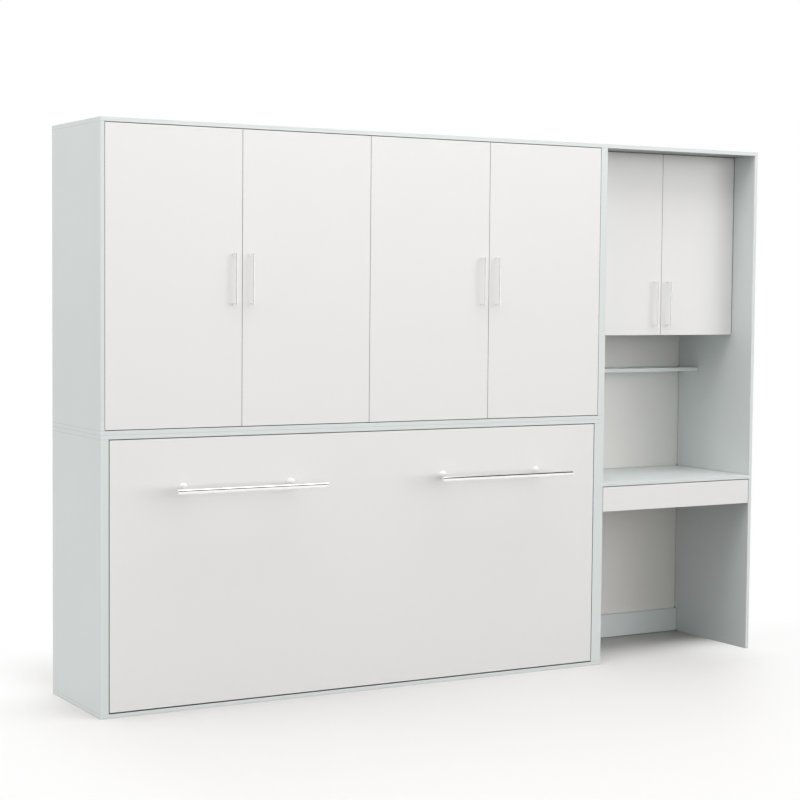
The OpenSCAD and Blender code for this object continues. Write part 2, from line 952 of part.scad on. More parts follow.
module bed_stops() {
    color("#3c3f42")
        both_ends()
            board(lower_side_t, lower_side_t + stop_l, front_t + door_rest, front_t + door_rest + stop_t,
                bed_z2 - stop_down - stop_h, bed_z2 - stop_down);
}

// ---- Gas struts: each is drawn along y, from its stud ----

strut_neck = 14;
strut_neck_r = 4;
tube_end = 4;
gland_t = 5;
strut_wall = 1.5;
bore_r = strut_r - strut_wall;
piston_t = 8;
piston_gap = 0.2;
ferrule = 20;
ferrule_wall = 1.5;
root = 1;

module eye() {
    difference() {
        bar_x(-eye_w / 2, eye_w / 2, 0, 0, eye_r);
        bar_x(-eye_w, eye_w, 0, 0, stud_r + pin_clear);
    }
}

module strut_cylinders() {
    color(steel_color)
        both_ends()
            translate([strut_x, strut_high[0], strut_high[1]])
                rotate([strut_angle, 0, 0])
                    difference() {
                        union() {
                            eye();
                            bar_y(0, stud_r + root, strut_neck + root, 0, strut_neck_r);
                            bar_y(0, strut_neck, strut_tube_len, 0, strut_r);
                        }
                        bar_y(0, strut_neck + tube_end, strut_tube_len - gland_t, 0, bore_r);
                        bar_y(0, strut_tube_len - gland_t - over, strut_tube_len + over, 0,
                            rod_r + piston_gap / 2);
                    }
}

module strut_rods() {
    color(chrome_color)
        both_ends()
            translate([strut_x, strut_low[0], strut_low[1]])
                rotate([strut_angle + 180, 0, 0])
                    union() {
                        eye();
                        bar_y(0, eye_r, ferrule, 0, strut_neck_r + ferrule_wall);
                        bar_y(0, stud_r + root, rod_len, 0, rod_r);
                        bar_y(0, rod_len - piston_t, rod_len, 0, bore_r - piston_gap);
                    }
}

place() lower_bottom();
place() lower_sides();
place() lower_top();
place() lower_back();
place() upper_bottom();
place() upper_sides();
place() upper_partition();
place() upper_top();
place() upper_back();
place() upper_shelves();
place() shelf_supports();
place() wall_rails();
place() desk_side_left();
place() desk_side_right();
place() desk_cabinet_top();
place() desk_back();
place() desk_cabinet_bottom();
place() desk_cabinet_shelf();
place() niche_shelf();
place() desktop();
place() desk_skirting();
place() hinge_arms();
place() drawer_slide_outers();
place() pivot_brackets();
place() bed_stops();
place() bed_front();
place() frame_rails();
place() frame_cross_tubes();
place() slats();
place() slat_holders();
place() mattress();
place() mattress_straps();
place() leg_bars();
place() leg_bolts();
place() bed_pivot_plates();
place() strut_cylinders();
place() strut_rods();
for (n = [1:6]) {
    place() door_panel(n);
    place() handle(n);
    place() hinge_cups(n);
}
place() drawer_front();
place() drawer_box();
place() drawer_bottom();
place() drawer_slide_inners();
place() drawer_slide_middles();
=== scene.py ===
import json
import math

import bmesh
import bpy
import numpy as np
from mathutils import Matrix, Vector


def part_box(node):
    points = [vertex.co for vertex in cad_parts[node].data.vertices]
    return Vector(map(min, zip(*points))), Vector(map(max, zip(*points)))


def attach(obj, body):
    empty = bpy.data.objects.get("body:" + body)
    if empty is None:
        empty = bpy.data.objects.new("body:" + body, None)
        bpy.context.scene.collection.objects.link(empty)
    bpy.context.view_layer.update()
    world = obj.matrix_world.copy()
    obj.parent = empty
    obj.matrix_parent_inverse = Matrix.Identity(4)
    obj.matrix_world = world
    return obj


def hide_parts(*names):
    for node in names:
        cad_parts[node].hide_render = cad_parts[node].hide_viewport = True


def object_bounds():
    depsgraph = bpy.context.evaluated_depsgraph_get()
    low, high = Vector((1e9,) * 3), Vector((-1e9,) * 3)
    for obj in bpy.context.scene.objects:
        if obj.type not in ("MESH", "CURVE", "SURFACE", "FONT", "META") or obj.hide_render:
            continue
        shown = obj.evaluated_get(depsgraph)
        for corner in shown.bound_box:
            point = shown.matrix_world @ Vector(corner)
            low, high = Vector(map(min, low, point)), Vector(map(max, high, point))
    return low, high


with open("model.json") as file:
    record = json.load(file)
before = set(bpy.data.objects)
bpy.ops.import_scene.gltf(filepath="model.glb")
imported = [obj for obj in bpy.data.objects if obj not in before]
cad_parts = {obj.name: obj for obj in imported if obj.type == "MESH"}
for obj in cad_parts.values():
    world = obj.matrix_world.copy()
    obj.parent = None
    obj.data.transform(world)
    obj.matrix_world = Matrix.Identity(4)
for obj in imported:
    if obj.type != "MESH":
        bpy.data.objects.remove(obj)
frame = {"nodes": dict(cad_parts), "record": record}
cad_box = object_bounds()
scene = bpy.context.scene

# ---- The photograph's view, solved from its straight edges ----

FRAME_PX = 800          # side of the square picture
FOCAL_PX = 1911.98
SENSOR = 36.0           # the camera's sensor in mm
YAW, PITCH, ROLL = (math.radians(a) for a in (29.835, 3.373, 0.506))
EYE = Vector((-4.0353, -6.7393, 1.5941))
VIEW_END = 200


def make_camera():
    """The camera of the photograph, turned and rolled as it was held."""
    ahead = Vector((math.sin(YAW) * math.cos(PITCH), math.cos(YAW) * math.cos(PITCH), -math.sin(PITCH)))
    right = Vector((math.cos(YAW), -math.sin(YAW), 0))
    up = right.cross(ahead)
    rolled_right = math.cos(ROLL) * right + math.sin(ROLL) * up
    rolled_up = math.cos(ROLL) * up - math.sin(ROLL) * right
    data = bpy.data.cameras.new("Camera")
    data.sensor_width = SENSOR
    data.lens = FOCAL_PX / FRAME_PX * SENSOR
    data.clip_end = VIEW_END
    cam = bpy.data.objects.new("Camera", data)
    turn = Matrix((rolled_right, rolled_up, -ahead)).transposed().to_4x4()
    cam.matrix_world = Matrix.Translation(EYE) @ turn
    scene.collection.objects.link(cam)
    scene.camera = cam


# ---- Node materials ----


def linear(r, g, b, a=1.0):
    """A colour given in the 0..255 steps of a screen, as the shaders take it."""
    def one(v):
        v /= 255
        return v / 12.92 if v <= 0.04045 else ((v + 0.055) / 1.055) ** 2.4
    return (one(r), one(g), one(b), a)


def scaled(color, k):
    """A lighter or darker tone of a colour."""
    return tuple(min(1.0, c * k) for c in color[:3]) + (1.0,)


NOISE_SPAN = (0.3, 0.7)       # the values between which most of a noise lies


class Tree:
    """The node tree of a material or a world, built up call by call."""

    def __init__(self, owner):
        owner.use_nodes = True
        self.tree = owner.node_tree
        self.tree.nodes.clear()

    def add(self, kind, ins=None, **props):
        n = self.tree.nodes.new(kind)
        for key, value in props.items():
            setattr(n, key, value)
        for key, value in (ins or {}).items():
            self.put(n.inputs[key], value)
        return n

    def put(self, socket, value):
        if isinstance(value, bpy.types.NodeSocket):
            self.tree.links.new(value, socket)
        else:
            socket.default_value = value

    def math(self, op, a, b=0.0):
        return self.add("ShaderNodeMath", {0: a, 1: b}, operation=op).outputs[0]

    def direct(self, seen):
        """1 for what the camera sees, also in mirrors and through glass, from Light Path's outputs."""
        return self.math("MAXIMUM", self.math("MAXIMUM", seen["Is Camera Ray"], seen["Is Glossy Ray"]),
                         seen["Is Transmission Ray"])


class Nodes(Tree):
    """A material with one principled shader, whose constants stay on its own sockets."""

    def __init__(self, name, **sockets):
        self.mat = bpy.data.materials.new(name)
        super().__init__(self.mat)
        self.bsdf = self.add("ShaderNodeBsdfPrincipled")
        for key, value in sockets.items():
            self.bsdf.inputs[key.replace("_", " ")].default_value = value
        self.out = self.add("ShaderNodeOutputMaterial", {"Surface": self.bsdf.outputs[0]})
        self.object = self.add("ShaderNodeTexCoord").outputs["Object"]

    def remap(self, value, low, high, to_low, to_high):
        n = self.add("ShaderNodeMapRange", {"Value": value, "From Min": low, "From Max": high,
                                            "To Min": to_low, "To Max": to_high})
        return n.outputs["Result"]

    def noise(self, scale, detail=3.0, stretch=None, warp=0.0):
        where = self.object
        if stretch:
            where = self.add("ShaderNodeMapping", {"Vector": where, "Scale": stretch}).outputs[0]
        n = self.add("ShaderNodeTexNoise", {"Vector": where, "Scale": scale, "Detail": detail,
                                            "Distortion": warp})
        return n.outputs[0]

    def spread(self, noise, to_low, to_high):
        """Carries the part of a noise where most of it lies to a range."""
        return self.remap(noise, *NOISE_SPAN, to_low, to_high)

    def mix(self, factor, a, b):
        """A blend of two colours."""
        return self.add("ShaderNodeMix", {0: factor, 6: a, 7: b}, data_type="RGBA").outputs[2]

    def blend(self, factor, a, b):
        """A blend of two numbers."""
        return self.add("ShaderNodeMix", {0: factor, 2: a, 3: b}, data_type="FLOAT").outputs[0]

    def open_air(self, reach, samples):
        """How open to the air a spot is within a reach, from 0 to 1."""
        n = self.add("ShaderNodeAmbientOcclusion", {"Distance": reach}, samples=samples)
        return n.outputs["AO"]

    def axes(self):
        return self.add("ShaderNodeSeparateXYZ", {"Vector": self.object}).outputs

    def surface(self, shader):
        """Puts a shader in the place of the principled one."""
        self.put(self.out.inputs["Surface"], shader)

    def color(self, value):
        self.put(self.bsdf.inputs["Base Color"], value)

    def rough(self, value):
        self.put(self.bsdf.inputs["Roughness"], value)

    def bump(self, *layers):
        """Bump layers of (height, strength, distance), each on top of the last."""
        normal = None
        for height, strength, distance in layers:
            n = self.add("ShaderNodeBump", {"Height": height, "Strength": strength,
                                            "Distance": distance})
            if normal is not None:
                self.put(n.inputs["Normal"], normal)
            normal = n.outputs[0]
        self.put(self.bsdf.inputs["Normal"], normal)


PAINTED_CREVICE_REACH = 0.012               # reach of the painted shade in gaps and joints
PAINTED_CREVICE_SHADE = 0.08
PAINTED_CREVICE_OPEN = (0.32, 0.52)   # how open to the air a spot is where the painted shade is full, and where it ends
SEAM = 0.0004                 # half the width of the hairline where two boards meet flush
SEAM_SHADE = 0.58


def hairline(m, along, at):
    """1 within half a seam's width of a place on an axis."""
    return m.math("LESS_THAN", m.math("ABSOLUTE", m.math("SUBTRACT", along, at)), SEAM)


def board_seams(m):
    """1 on the hairlines between the flush board ends of the bed unit and under the top boards."""
    x, _, z = m.axes()
    lines = hairline(m, z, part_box("upper_top")[0][2])
    for node in ("lower_bottom", "lower_sides", "lower_top", "upper_bottom"):
        near = m.math("MULTIPLY", hairline(m, z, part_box(node)[1][2]),
                      m.math("LESS_THAN", x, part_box("desk_side_left")[0][0]))
        lines = m.math("MAXIMUM", lines, near)
    return lines


def back_seams(m):
    """1 on the hairlines where the three back panels meet."""
    x, _, z = m.axes()
    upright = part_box("desk_back")[0][0]
    level = m.math("MULTIPLY", hairline(m, z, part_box("upper_back")[0][2]),
                   m.math("LESS_THAN", x, upright))
    return m.math("MAXIMUM", hairline(m, x, upright), level)


def board_material(name, color, rough, specular, spread=0.012, seams=None):
    """Melamine or lacquered board: a fine pearl, faint clouds, a little polish wear, and painted shade
    in gaps and joints.
    """
    m = Nodes(name, Specular_IOR_Level=specular)
    clouds = m.noise(1.7, 2.0)
    pearl = m.noise(420.0, 2.0)
    tint = m.mix(clouds, scaled(color, 1 - spread), scaled(color, 1 + spread))
    face = m.mix(m.remap(pearl, 0.35, 0.65, 0.0, 1.0), scaled(color, 0.985), tint)
    if seams:
        face = m.mix(seams(m), face, scaled(color, SEAM_SHADE))
    # painted shade: the colour darkens where little air is open, in gaps and joints
    lit = m.remap(m.open_air(PAINTED_CREVICE_REACH, 6), *PAINTED_CREVICE_OPEN, 0.0, 1.0)
    m.color(m.mix(lit, scaled(color, PAINTED_CREVICE_SHADE), face))
    m.rough(m.spread(m.noise(2.3, 4.0), rough - 0.04, rough + 0.05))
    m.bump((pearl, 0.10, 0.0004), (m.noise(70.0, 2.0), 0.05, 0.0008))
    return m.mat


def polished_metal(name, color, rough):
    """Bare metal: a very fine grain and faint spots."""
    m = Nodes(name, Metallic=1.0)
    lines = m.noise(900.0, 2.0)
    spots = m.noise(35.0, 3.0)
    m.color(m.mix(m.spread(spots, 0.0, 1.0), scaled(color, 0.94), color))
    m.rough(m.math("ADD", m.spread(lines, rough - 0.03, rough + 0.05),
                   m.remap(spots, 0.4, 0.8, 0.0, 0.03)))
    m.bump((lines, 0.06, 0.0002))
    return m.mat


def coated_metal(name, color, rough):
    """Powder coat: a fine orange peel over a plain colour."""
    m = Nodes(name, Specular_IOR_Level=0.45)
    peel = m.noise(650.0, 2.0)
    m.color(m.mix(m.noise(8.0, 3.0), scaled(color, 0.95), scaled(color, 1.04)))
    m.rough(m.spread(peel, rough - 0.05, rough + 0.06))
    m.bump((peel, 0.35, 0.0004))
    return m.mat


def plastic(name, color, rough):
    """Moulded plastic: a fine eroded grain."""
    m = Nodes(name, Specular_IOR_Level=0.5)
    grain = m.noise(1300.0, 2.0)
    m.color(m.mix(m.noise(25.0, 3.0), scaled(color, 0.92), scaled(color, 1.08)))
    m.rough(m.spread(grain, rough - 0.05, rough + 0.08))
    m.bump((grain, 0.2, 0.0002))
    return m.mat


def slat_material():
    """Beech plies: long grain and short flecks."""
    m = Nodes("slat_wood", Specular_IOR_Level=0.4)
    grain = m.noise(60.0, 6.0, (14.0, 14.0, 0.6), warp=0.6)
    fleck = m.noise(240.0, 2.0, (6.0, 6.0, 0.5))
    base = m.mix(m.remap(grain, 0.35, 0.65, 0.0, 1.0), linear(206, 172, 128), linear(226, 198, 158))
    m.color(m.mix(m.remap(fleck, 0.62, 0.7, 0.0, 0.5), base, linear(176, 134, 92)))
    m.rough(m.spread(grain, 0.42, 0.55))
    m.bump((grain, 0.15, 0.0005), (fleck, 0.1, 0.0003))
    return m.mat


def weave_material(name, color, dark, pitch, rough=0.85):
    """Flat webbing: ribs across and along, a pitch apart."""
    m = Nodes(name, Specular_IOR_Level=0.3, Sheen_Weight=0.15, Sheen_Roughness=0.5)
    x, y, z = m.axes()
    turns = 2 * math.pi / pitch
    across = m.math("SINE", m.math("MULTIPLY", x, turns))
    along = m.math("SINE", m.math("MULTIPLY", m.math("ADD", y, z), turns))
    weave = m.math("MULTIPLY", across, along)
    m.color(m.mix(m.remap(weave, -1, 1, 0, 1), dark, color))
    m.rough(m.spread(m.noise(90.0), rough - 0.06, rough + 0.06))
    m.bump((weave, 0.5, 0.0006))
    return m.mat


CELL = 0.0125          # grid of the mattress
QUILT = 12             # cells from one quilting line to the next
QUILT_PITCH = QUILT * CELL
QUILT_MID_Z = (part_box("mattress")[0][2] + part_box("mattress")[1][2]) / 2
LOOP = 0.0042          # from one loop of the knitted cover to the next
STITCH = 0.011         # from one stitch of the quilting thread to the next
THREAD = 0.0011        # half the width of the thread


def quilt_material():
    """Knitted ticking: a fine loop texture, and a sewing thread along the quilting lines."""
    m = Nodes("mattress_cover", Specular_IOR_Level=0.25, Sheen_Weight=0.25, Sheen_Roughness=0.45)
    x, y, z = m.axes()
    loops = 2 * math.pi / LOOP
    knit = m.math("MULTIPLY", m.math("SINE", m.math("MULTIPLY", x, loops)),
                  m.math("SINE", m.math("MULTIPLY", z, loops * 0.8)))
    thread = None
    for sign in (1, -1):
        across = m.math("ADD", x, m.math("MULTIPLY", m.math("SUBTRACT", z, QUILT_MID_Z), sign))
        along = m.math("SUBTRACT", x, m.math("MULTIPLY", z, sign))
        away = m.math("PINGPONG", across, QUILT_PITCH / 2)
        on = m.math("LESS_THAN", away, THREAD)
        wave = m.math("SINE", m.math("MULTIPLY", along, 2 * math.pi / STITCH))
        stitch = m.math("GREATER_THAN", wave, -0.35)
        line = m.math("MULTIPLY", on, stitch)
        thread = line if thread is None else m.math("MAXIMUM", thread, line)
    cloud = m.mix(m.noise(6.0, 3.0), linear(220, 220, 217), linear(229, 229, 226))
    cloth = m.mix(m.remap(knit, -1, 1, 0.0, 1.0), linear(208, 208, 207), cloud)
    m.color(m.mix(thread, cloth, linear(178, 181, 186)))
    m.rough(m.spread(m.noise(40.0), 0.8, 0.95))
    m.bump((knit, 0.35, 0.0006), (thread, 0.5, 0.0008), (m.noise(300.0, 2.0), 0.2, 0.0005))
    return m.mat


def knit_material(name, color, dark):
    """Spacer mesh of the border: rows of small round openings."""
    m = Nodes(name, Specular_IOR_Level=0.25, Sheen_Weight=0.2, Sheen_Roughness=0.5)
    cells = m.add("ShaderNodeTexVoronoi", {"Vector": m.object, "Scale": 260.0, "Randomness": 0.15})
    open_ = m.remap(cells.outputs["Distance"], 0.15, 0.4, 0.0, 1.0)
    m.color(m.mix(open_, dark, color))
    m.rough(m.spread(m.noise(50.0), 0.78, 0.92))
    m.bump((open_, 0.4, 0.0008))
    return m.mat


MATERIALS = {
    "carcass_board": board_material("carcass_board", linear(224, 229, 228), 0.42, 0.4,
                                    seams=board_seams),
    "back_panel": board_material("back_panel", linear(234, 232, 229), 0.55, 0.35, seams=back_seams),
    "white_front": board_material("white_front", linear(237, 236, 234), 0.36, 0.45, 0.006),
    "drawer_board": board_material("drawer_board", linear(232, 232, 230), 0.5, 0.4),
    "slat_wood": slat_material(),
    "nickel": polished_metal("nickel", linear(196, 194, 190), 0.3),
    "zinc_steel": polished_metal("zinc_steel", linear(188, 191, 196), 0.36),
    "grey_frame_steel": coated_metal("grey_frame_steel", linear(150, 154, 158), 0.42),
    "black_steel": coated_metal("black_steel", linear(38, 39, 41), 0.38),
    "chrome": polished_metal("chrome", linear(252, 252, 251), 0.07),
    "white_flange": plastic("white_flange", linear(250, 250, 249), 0.3),
    "black_plastic": plastic("black_plastic", linear(44, 46, 48), 0.5),
    "mattress_cover": quilt_material(),
    "mattress_border": knit_material("mattress_border", linear(212, 214, 216), linear(176, 179, 183)),
    "mattress_piping": weave_material("mattress_piping", linear(150, 155, 162), linear(118, 123, 131),
                                      0.0022),
    "strap_webbing": weave_material("strap_webbing", linear(98, 102, 108), linear(66, 70, 76), 0.003),
}


# ---- The CAD nodes: their own slots, and a fine broken edge ----

# Width of the broken edge, by slot
EDGE = {"carcass_board": 0.0010, "back_panel": 0.0003, "white_front": 0.0008, "drawer_board": 0.0005,
        "slat_wood": 0.0012, "grey_frame_steel": 0.0015, "chrome": 0.0006, "black_plastic": 0.0006}
EDGE_ANGLE = 50


def dress_nodes():
    """Gives each CAD node the material of its slot, and its broken edge."""
    for part in frame["record"]["subparts"]:
        obj, slot = frame["nodes"][part["node"]], part["material_slot"]
        obj.data.materials.clear()
        obj.data.materials.append(MATERIALS[slot])
        if slot in EDGE:
            bevel = obj.modifiers.new("edge", "BEVEL")
            bevel.width = EDGE[slot]
            bevel.segments = 2
            bevel.limit_method = "ANGLE"
            bevel.angle_limit = math.radians(EDGE_ANGLE)
            bevel.harden_normals = False
            bevel.use_clamp_overlap = True


# ---- Mesh tools ----

ALL_SMOOTH = 180       # no edge is sharp
ONE_SPOT = 6           # decimals to which two vertices are the same
IN_LINE = 3            # decimals to which two solids begin at the same place


def piece(name, bm, material, body, sharp=40, others=()):
    """A new visible piece from a bmesh, riding on a body."""
    bmesh.ops.recalc_face_normals(bm, faces=bm.faces)
    mesh = bpy.data.meshes.new(name)
    bm.to_mesh(mesh)
    bm.free()
    for mat in (material, *others):
        mesh.materials.append(MATERIALS[mat])
    mesh.polygons.foreach_set("use_smooth", [True] * len(mesh.polygons))
    mesh.set_sharp_from_angle(angle=math.radians(sharp))
    obj = bpy.data.objects.new(name, mesh)
    scene.collection.objects.link(obj)
    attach(obj, body)
    return obj


def solids(node):
    """The box of each separate solid of a CAD node, from low x to high, then low z to high."""
    mesh = frame["nodes"][node].data
    keys, root = {}, []
    where = []
    for v in mesh.vertices:
        key = tuple(round(c, ONE_SPOT) for c in v.co)
        if key not in keys:
            keys[key] = len(root)
            root.append(len(root))
        where.append(keys[key])

    def find(i):
        while root[i] != i:
            root[i] = root[root[i]]
            i = root[i]
        return i

    for face in mesh.polygons:
        first = find(where[face.vertices[0]])
        for other in face.vertices:
            root[find(where[other])] = first
            first = find(first)
    boxes = {}
    for key, i in keys.items():
        lo, hi = boxes.setdefault(find(i), (list(key), list(key)))
        for a in range(3):
            lo[a] = min(lo[a], key[a])
            hi[a] = max(hi[a], key[a])
    return sorted(((Vector(lo), Vector(hi)) for lo, hi in boxes.values()),
                  key=lambda b: (round(b[0].x, IN_LINE), round(b[0].z, IN_LINE)))


def turn_to(axis):
    """The turn that carries +z to an axis."""
    return Vector((0, 0, 1)).rotation_difference(Vector(axis)).to_matrix()


def lathe(bm, profile, at, axis, steps=24, shape=None):
    """A turned form from (radius, height) pairs; shape(ring, angle) may scale a ring's radius."""
    spin, at = turn_to(axis), Vector(at)
    rings = []
    for k, (r, h) in enumerate(profile):
        if r == 0:
            rings.append([bm.verts.new(at + spin @ Vector((0, 0, h)))])
            continue
        ring = []
        for i in range(steps):
            a = 2 * math.pi * i / steps
            reach = r * (shape(k, a) if shape else 1)
            ring.append(bm.verts.new(at + spin @ Vector((reach * math.cos(a), reach * math.sin(a), h))))
        rings.append(ring)
    for a, b in zip(rings, rings[1:]):
        for i in range(steps):
            j = (i + 1) % steps
            quad = [a[i % len(a)], a[j % len(a)], b[j % len(b)], b[i % len(b)]]
            bm.faces.new(list(dict.fromkeys(quad)))
    if len(rings[0]) > 1:
        bm.faces.new(reversed(rings[0]))
    if len(rings[-1]) > 1:
        bm.faces.new(rings[-1])


# The profiles of heads, in units of their radius; two rings of the screw's follow its cross recess
SCREW_HEAD = [(1, 0), (1, 0.25), (0.9, 0.48), (0.68, 0.6), (1, 0.62), (0.95, 0.2), (0, 0.12)]
CROSS_RINGS = (4, 5)
WASHER = [(1.6, 0), (1.6, 0.18), (1.5, 0.25), (0, 0.25)]
HEX_HEAD = [(1.15, 0.2), (1.15, 0.8), (1.05, 0.95), (0, 0.95)]
CROSS_ARM = 0.58       # reach of the cross recess
CROSS_HALF = 0.13      # half the width of its arms


def cross_reach(angle):
    """The outline of a cross recess, as a share of the head's radius."""
    a = abs((angle + math.pi / 4) % (math.pi / 2) - math.pi / 4)
    return min(CROSS_ARM, CROSS_HALF / max(math.sin(a), 1e-6))


def screw(bm, at, axis, r, height=1.0):
    """A pan-head screw with a cross recess, its head standing on the face at a point.

    The height is a share of an ordinary head's.
    """
    profile = [(across * r, up * r * height) for across, up in SCREW_HEAD]
    lathe(bm, profile, at, axis, shape=lambda k, a: cross_reach(a) if k in CROSS_RINGS else 1)


def hex_bolt(bm, at, axis, r):
    """A hexagon bolt head on its washer."""
    def six(k, a):
        return math.cos(math.pi / 6) / math.cos((a % (math.pi / 3)) - math.pi / 6)

    for profile, shape in ((WASHER, None), (HEX_HEAD, six)):
        lathe(bm, [(across * r, up * r) for across, up in profile], at, axis, shape=shape)


def sweep(bm, path, outline, side, closed=False):
    """A band with a closed outline of (along side, off the path) pairs, carried along a flat path."""
    side = Vector(side)
    rings = []
    count = len(path)
    for k, p in enumerate(path):
        a = path[(k - 1) % count if closed else max(k - 1, 0)]
        b = path[(k + 1) % count if closed else min(k + 1, count - 1)]
        ahead = (Vector(b) - Vector(a)).normalized()
        off = side.cross(ahead)
        rings.append([bm.verts.new(Vector(p) + side * u + off * v) for u, v in outline])
    n = len(outline)
    for a, b in zip(rings, rings[1:] + (rings[:1] if closed else [])):
        for i in range(n):
            bm.faces.new((a[i], a[(i + 1) % n], b[(i + 1) % n], b[i]))
    if not closed:
        bm.faces.new(rings[0])
        bm.faces.new(reversed(rings[-1]))


def circle(r, steps=8):
    """A small round outline."""
    return [(r * math.cos(a), r * math.sin(a)) for a in (2 * math.pi * k / steps for k in range(steps))]


def slab(bm, outline, at, u, v, w, thick, edge):
    """A flat shape of (u, v) points, extruded along w with its rims broken."""
    at, u, v, w = Vector(at), Vector(u), Vector(v), Vector(w)
    cx = sum(p[0] for p in outline) / len(outline)
    cy = sum(p[1] for p in outline) / len(outline)
    span = max(max(abs(p[0] - cx), abs(p[1] - cy)) for p in outline)
    rings = []
    for lift, inset in ((0, edge), (edge, 0), (thick - edge, 0), (thick, edge)):
        k = 1 - inset / span
        rings.append([bm.verts.new(at + u * (cx + (a - cx) * k) + v * (cy + (b - cy) * k) + w * lift)
                      for a, b in outline])
    for a, b in zip(rings, rings[1:]):
        for i in range(len(outline)):
            j = (i + 1) % len(outline)
            bm.faces.new((a[i], a[j], b[j], b[i]))
    bm.faces.new(reversed(rings[0]))
    bm.faces.new(rings[-1])


def round_box(w, h, r, steps=4):
    """The outline of a rectangle with round corners, about its middle."""
    out = []
    x, y = w / 2 - r, h / 2 - r
    for cx, cy, a0 in ((x, y, 0), (-x, y, 90), (-x, -y, 180), (x, -y, 270)):
        for i in range(steps + 1):
            a = math.radians(a0 + 90 * i / steps)
            out.append((cx + r * math.cos(a), cy + r * math.sin(a)))
    return out


# ---- Mattress: quilted faces and a border, puffed up by a cloth simulation ----

CORNER_R = 0.055       # the corners seen from above
SIDE_DRAW = 0.004      # how far the sides draw in between the corners
BORDER_TUCK = 0.006    # how deep the border is tucked between its rims
CROWN_RISE = 0.004     # of the top's middle over its rim
LINE_SINK = 0.003      # of the quilting lines under the top
PIPING_R = 0.0042
PIPING_LIFT = 0.002    # of the lower piping over the underside
PIPING_SINK = 0.001    # of the upper piping under the rim
SPARE_SIDE = 0.001     # from the CAD's box to the piping, to the underside and to the puffed top
SPARE_UNDER = 0.0005
SPARE_TOP = 0.002
PUFF_MAX = 0.011       # the most that the cloth may move
FRAMES = 20


class Mattress:
    """A closed grid: two faces of equal cells and a border of rows between their rims."""

    def __init__(self, lo, hi):
        inset = PIPING_R + SPARE_SIDE
        self.mid = (lo + hi) / 2
        self.hx = (hi.x - lo.x) / 2 - inset
        self.hz = (hi.z - lo.z) / 2 - inset
        self.y_under = lo.y + SPARE_UNDER
        self.y_top = hi.y - PUFF_MAX - SPARE_TOP
        self.nx = 2 * round(self.hx / CELL)
        self.nz = 2 * round(self.hz / CELL)
        self.rows = round((self.y_top - self.y_under) / CELL)

    def flat(self, i, j):
        """The place of a grid point in its face, with the corners drawn round."""
        x = self.hx * (2 * i / self.nx - 1)
        z = self.hz * (2 * j / self.nz - 1)
        a = (abs(x) - (self.hx - CORNER_R)) / CORNER_R
        b = (abs(z) - (self.hz - CORNER_R)) / CORNER_R
        if a > 0 and b > 0:
            k = max(a, b) / math.hypot(a, b)
            x = math.copysign(self.hx - CORNER_R + a * k * CORNER_R, x)
            z = math.copysign(self.hz - CORNER_R + b * k * CORNER_R, z)
        x -= math.copysign(SIDE_DRAW * (1 - (z / self.hz) ** 2) * (abs(x) / self.hx) ** 6, x)
        z -= math.copysign(SIDE_DRAW * (1 - (x / self.hx) ** 2) * (abs(z) / self.hz) ** 6, z)
        return x, z

    def rim(self):
        """The grid points around a face."""
        nx, nz = self.nx, self.nz
        return ([(i, 0) for i in range(nx)] + [(nx, j) for j in range(nz)]
                + [(i, nz) for i in range(nx, 0, -1)] + [(0, j) for j in range(nz, 0, -1)])

    def on_line(self, i, j):
        u, v = i - self.nx // 2, j - self.nz // 2
        return (u + v) % QUILT == 0 or (u - v) % QUILT == 0

    def near_rim(self, i, j):
        return min(i, j, self.nx - i, self.nz - j)

    def build(self):
        """Returns the mesh's bmesh and how firmly each vertex is held."""
        bm = bmesh.new()
        held = []

        def vert(x, y, z, hold):
            held.append(hold)
            return bm.verts.new((self.mid.x + x, y, self.mid.z + z))

        faces = {}
        for top in (0, 1):
            for i in range(self.nx + 1):
                for j in range(self.nz + 1):
                    x, z = self.flat(i, j)
                    rim = self.near_rim(i, j)
                    y = self.y_top if top else self.y_under
                    hold = 1.0
                    if top and rim > 0:
                        crown = (1 - (x / self.hx) ** 4) * (1 - (z / self.hz) ** 4)
                        y += CROWN_RISE * crown - (LINE_SINK if self.on_line(i, j) else 0)
                        hold = 1.0 if self.on_line(i, j) else 0.0
                    faces[top, i, j] = vert(x, y, z, hold)
        rim = self.rim()
        rows = [[faces[0, i, j] for i, j in rim]]
        for k in range(1, self.rows):
            t = k / self.rows
            tuck = BORDER_TUCK * math.sin(math.pi * t) ** 0.6
            row = []
            for i, j in rim:
                x, z = self.flat(i, j)
                away = Vector((x, z)).normalized()
                x, z = x - away.x * tuck, z - away.y * tuck
                row.append(vert(x, self.y_under + t * (self.y_top - self.y_under), z, 0.0))
            rows.append(row)
        rows.append([faces[1, i, j] for i, j in rim])
        for top in (0, 1):
            for i in range(self.nx):
                for j in range(self.nz):
                    quad = [faces[top, i, j], faces[top, i + 1, j], faces[top, i + 1, j + 1],
                            faces[top, i, j + 1]]
                    bm.faces.new(quad if not top else quad[::-1])
        for a, b in zip(rows, rows[1:]):
            for k in range(len(rim)):
                n = (k + 1) % len(rim)
                bm.faces.new((a[n], a[k], b[k], b[n])).material_index = 1
        return bm, held

    def rim_path(self, y):
        points = []
        for i, j in self.rim():
            x, z = self.flat(i, j)
            points.append(Vector((self.mid.x + x, y, self.mid.z + z)))
        return points


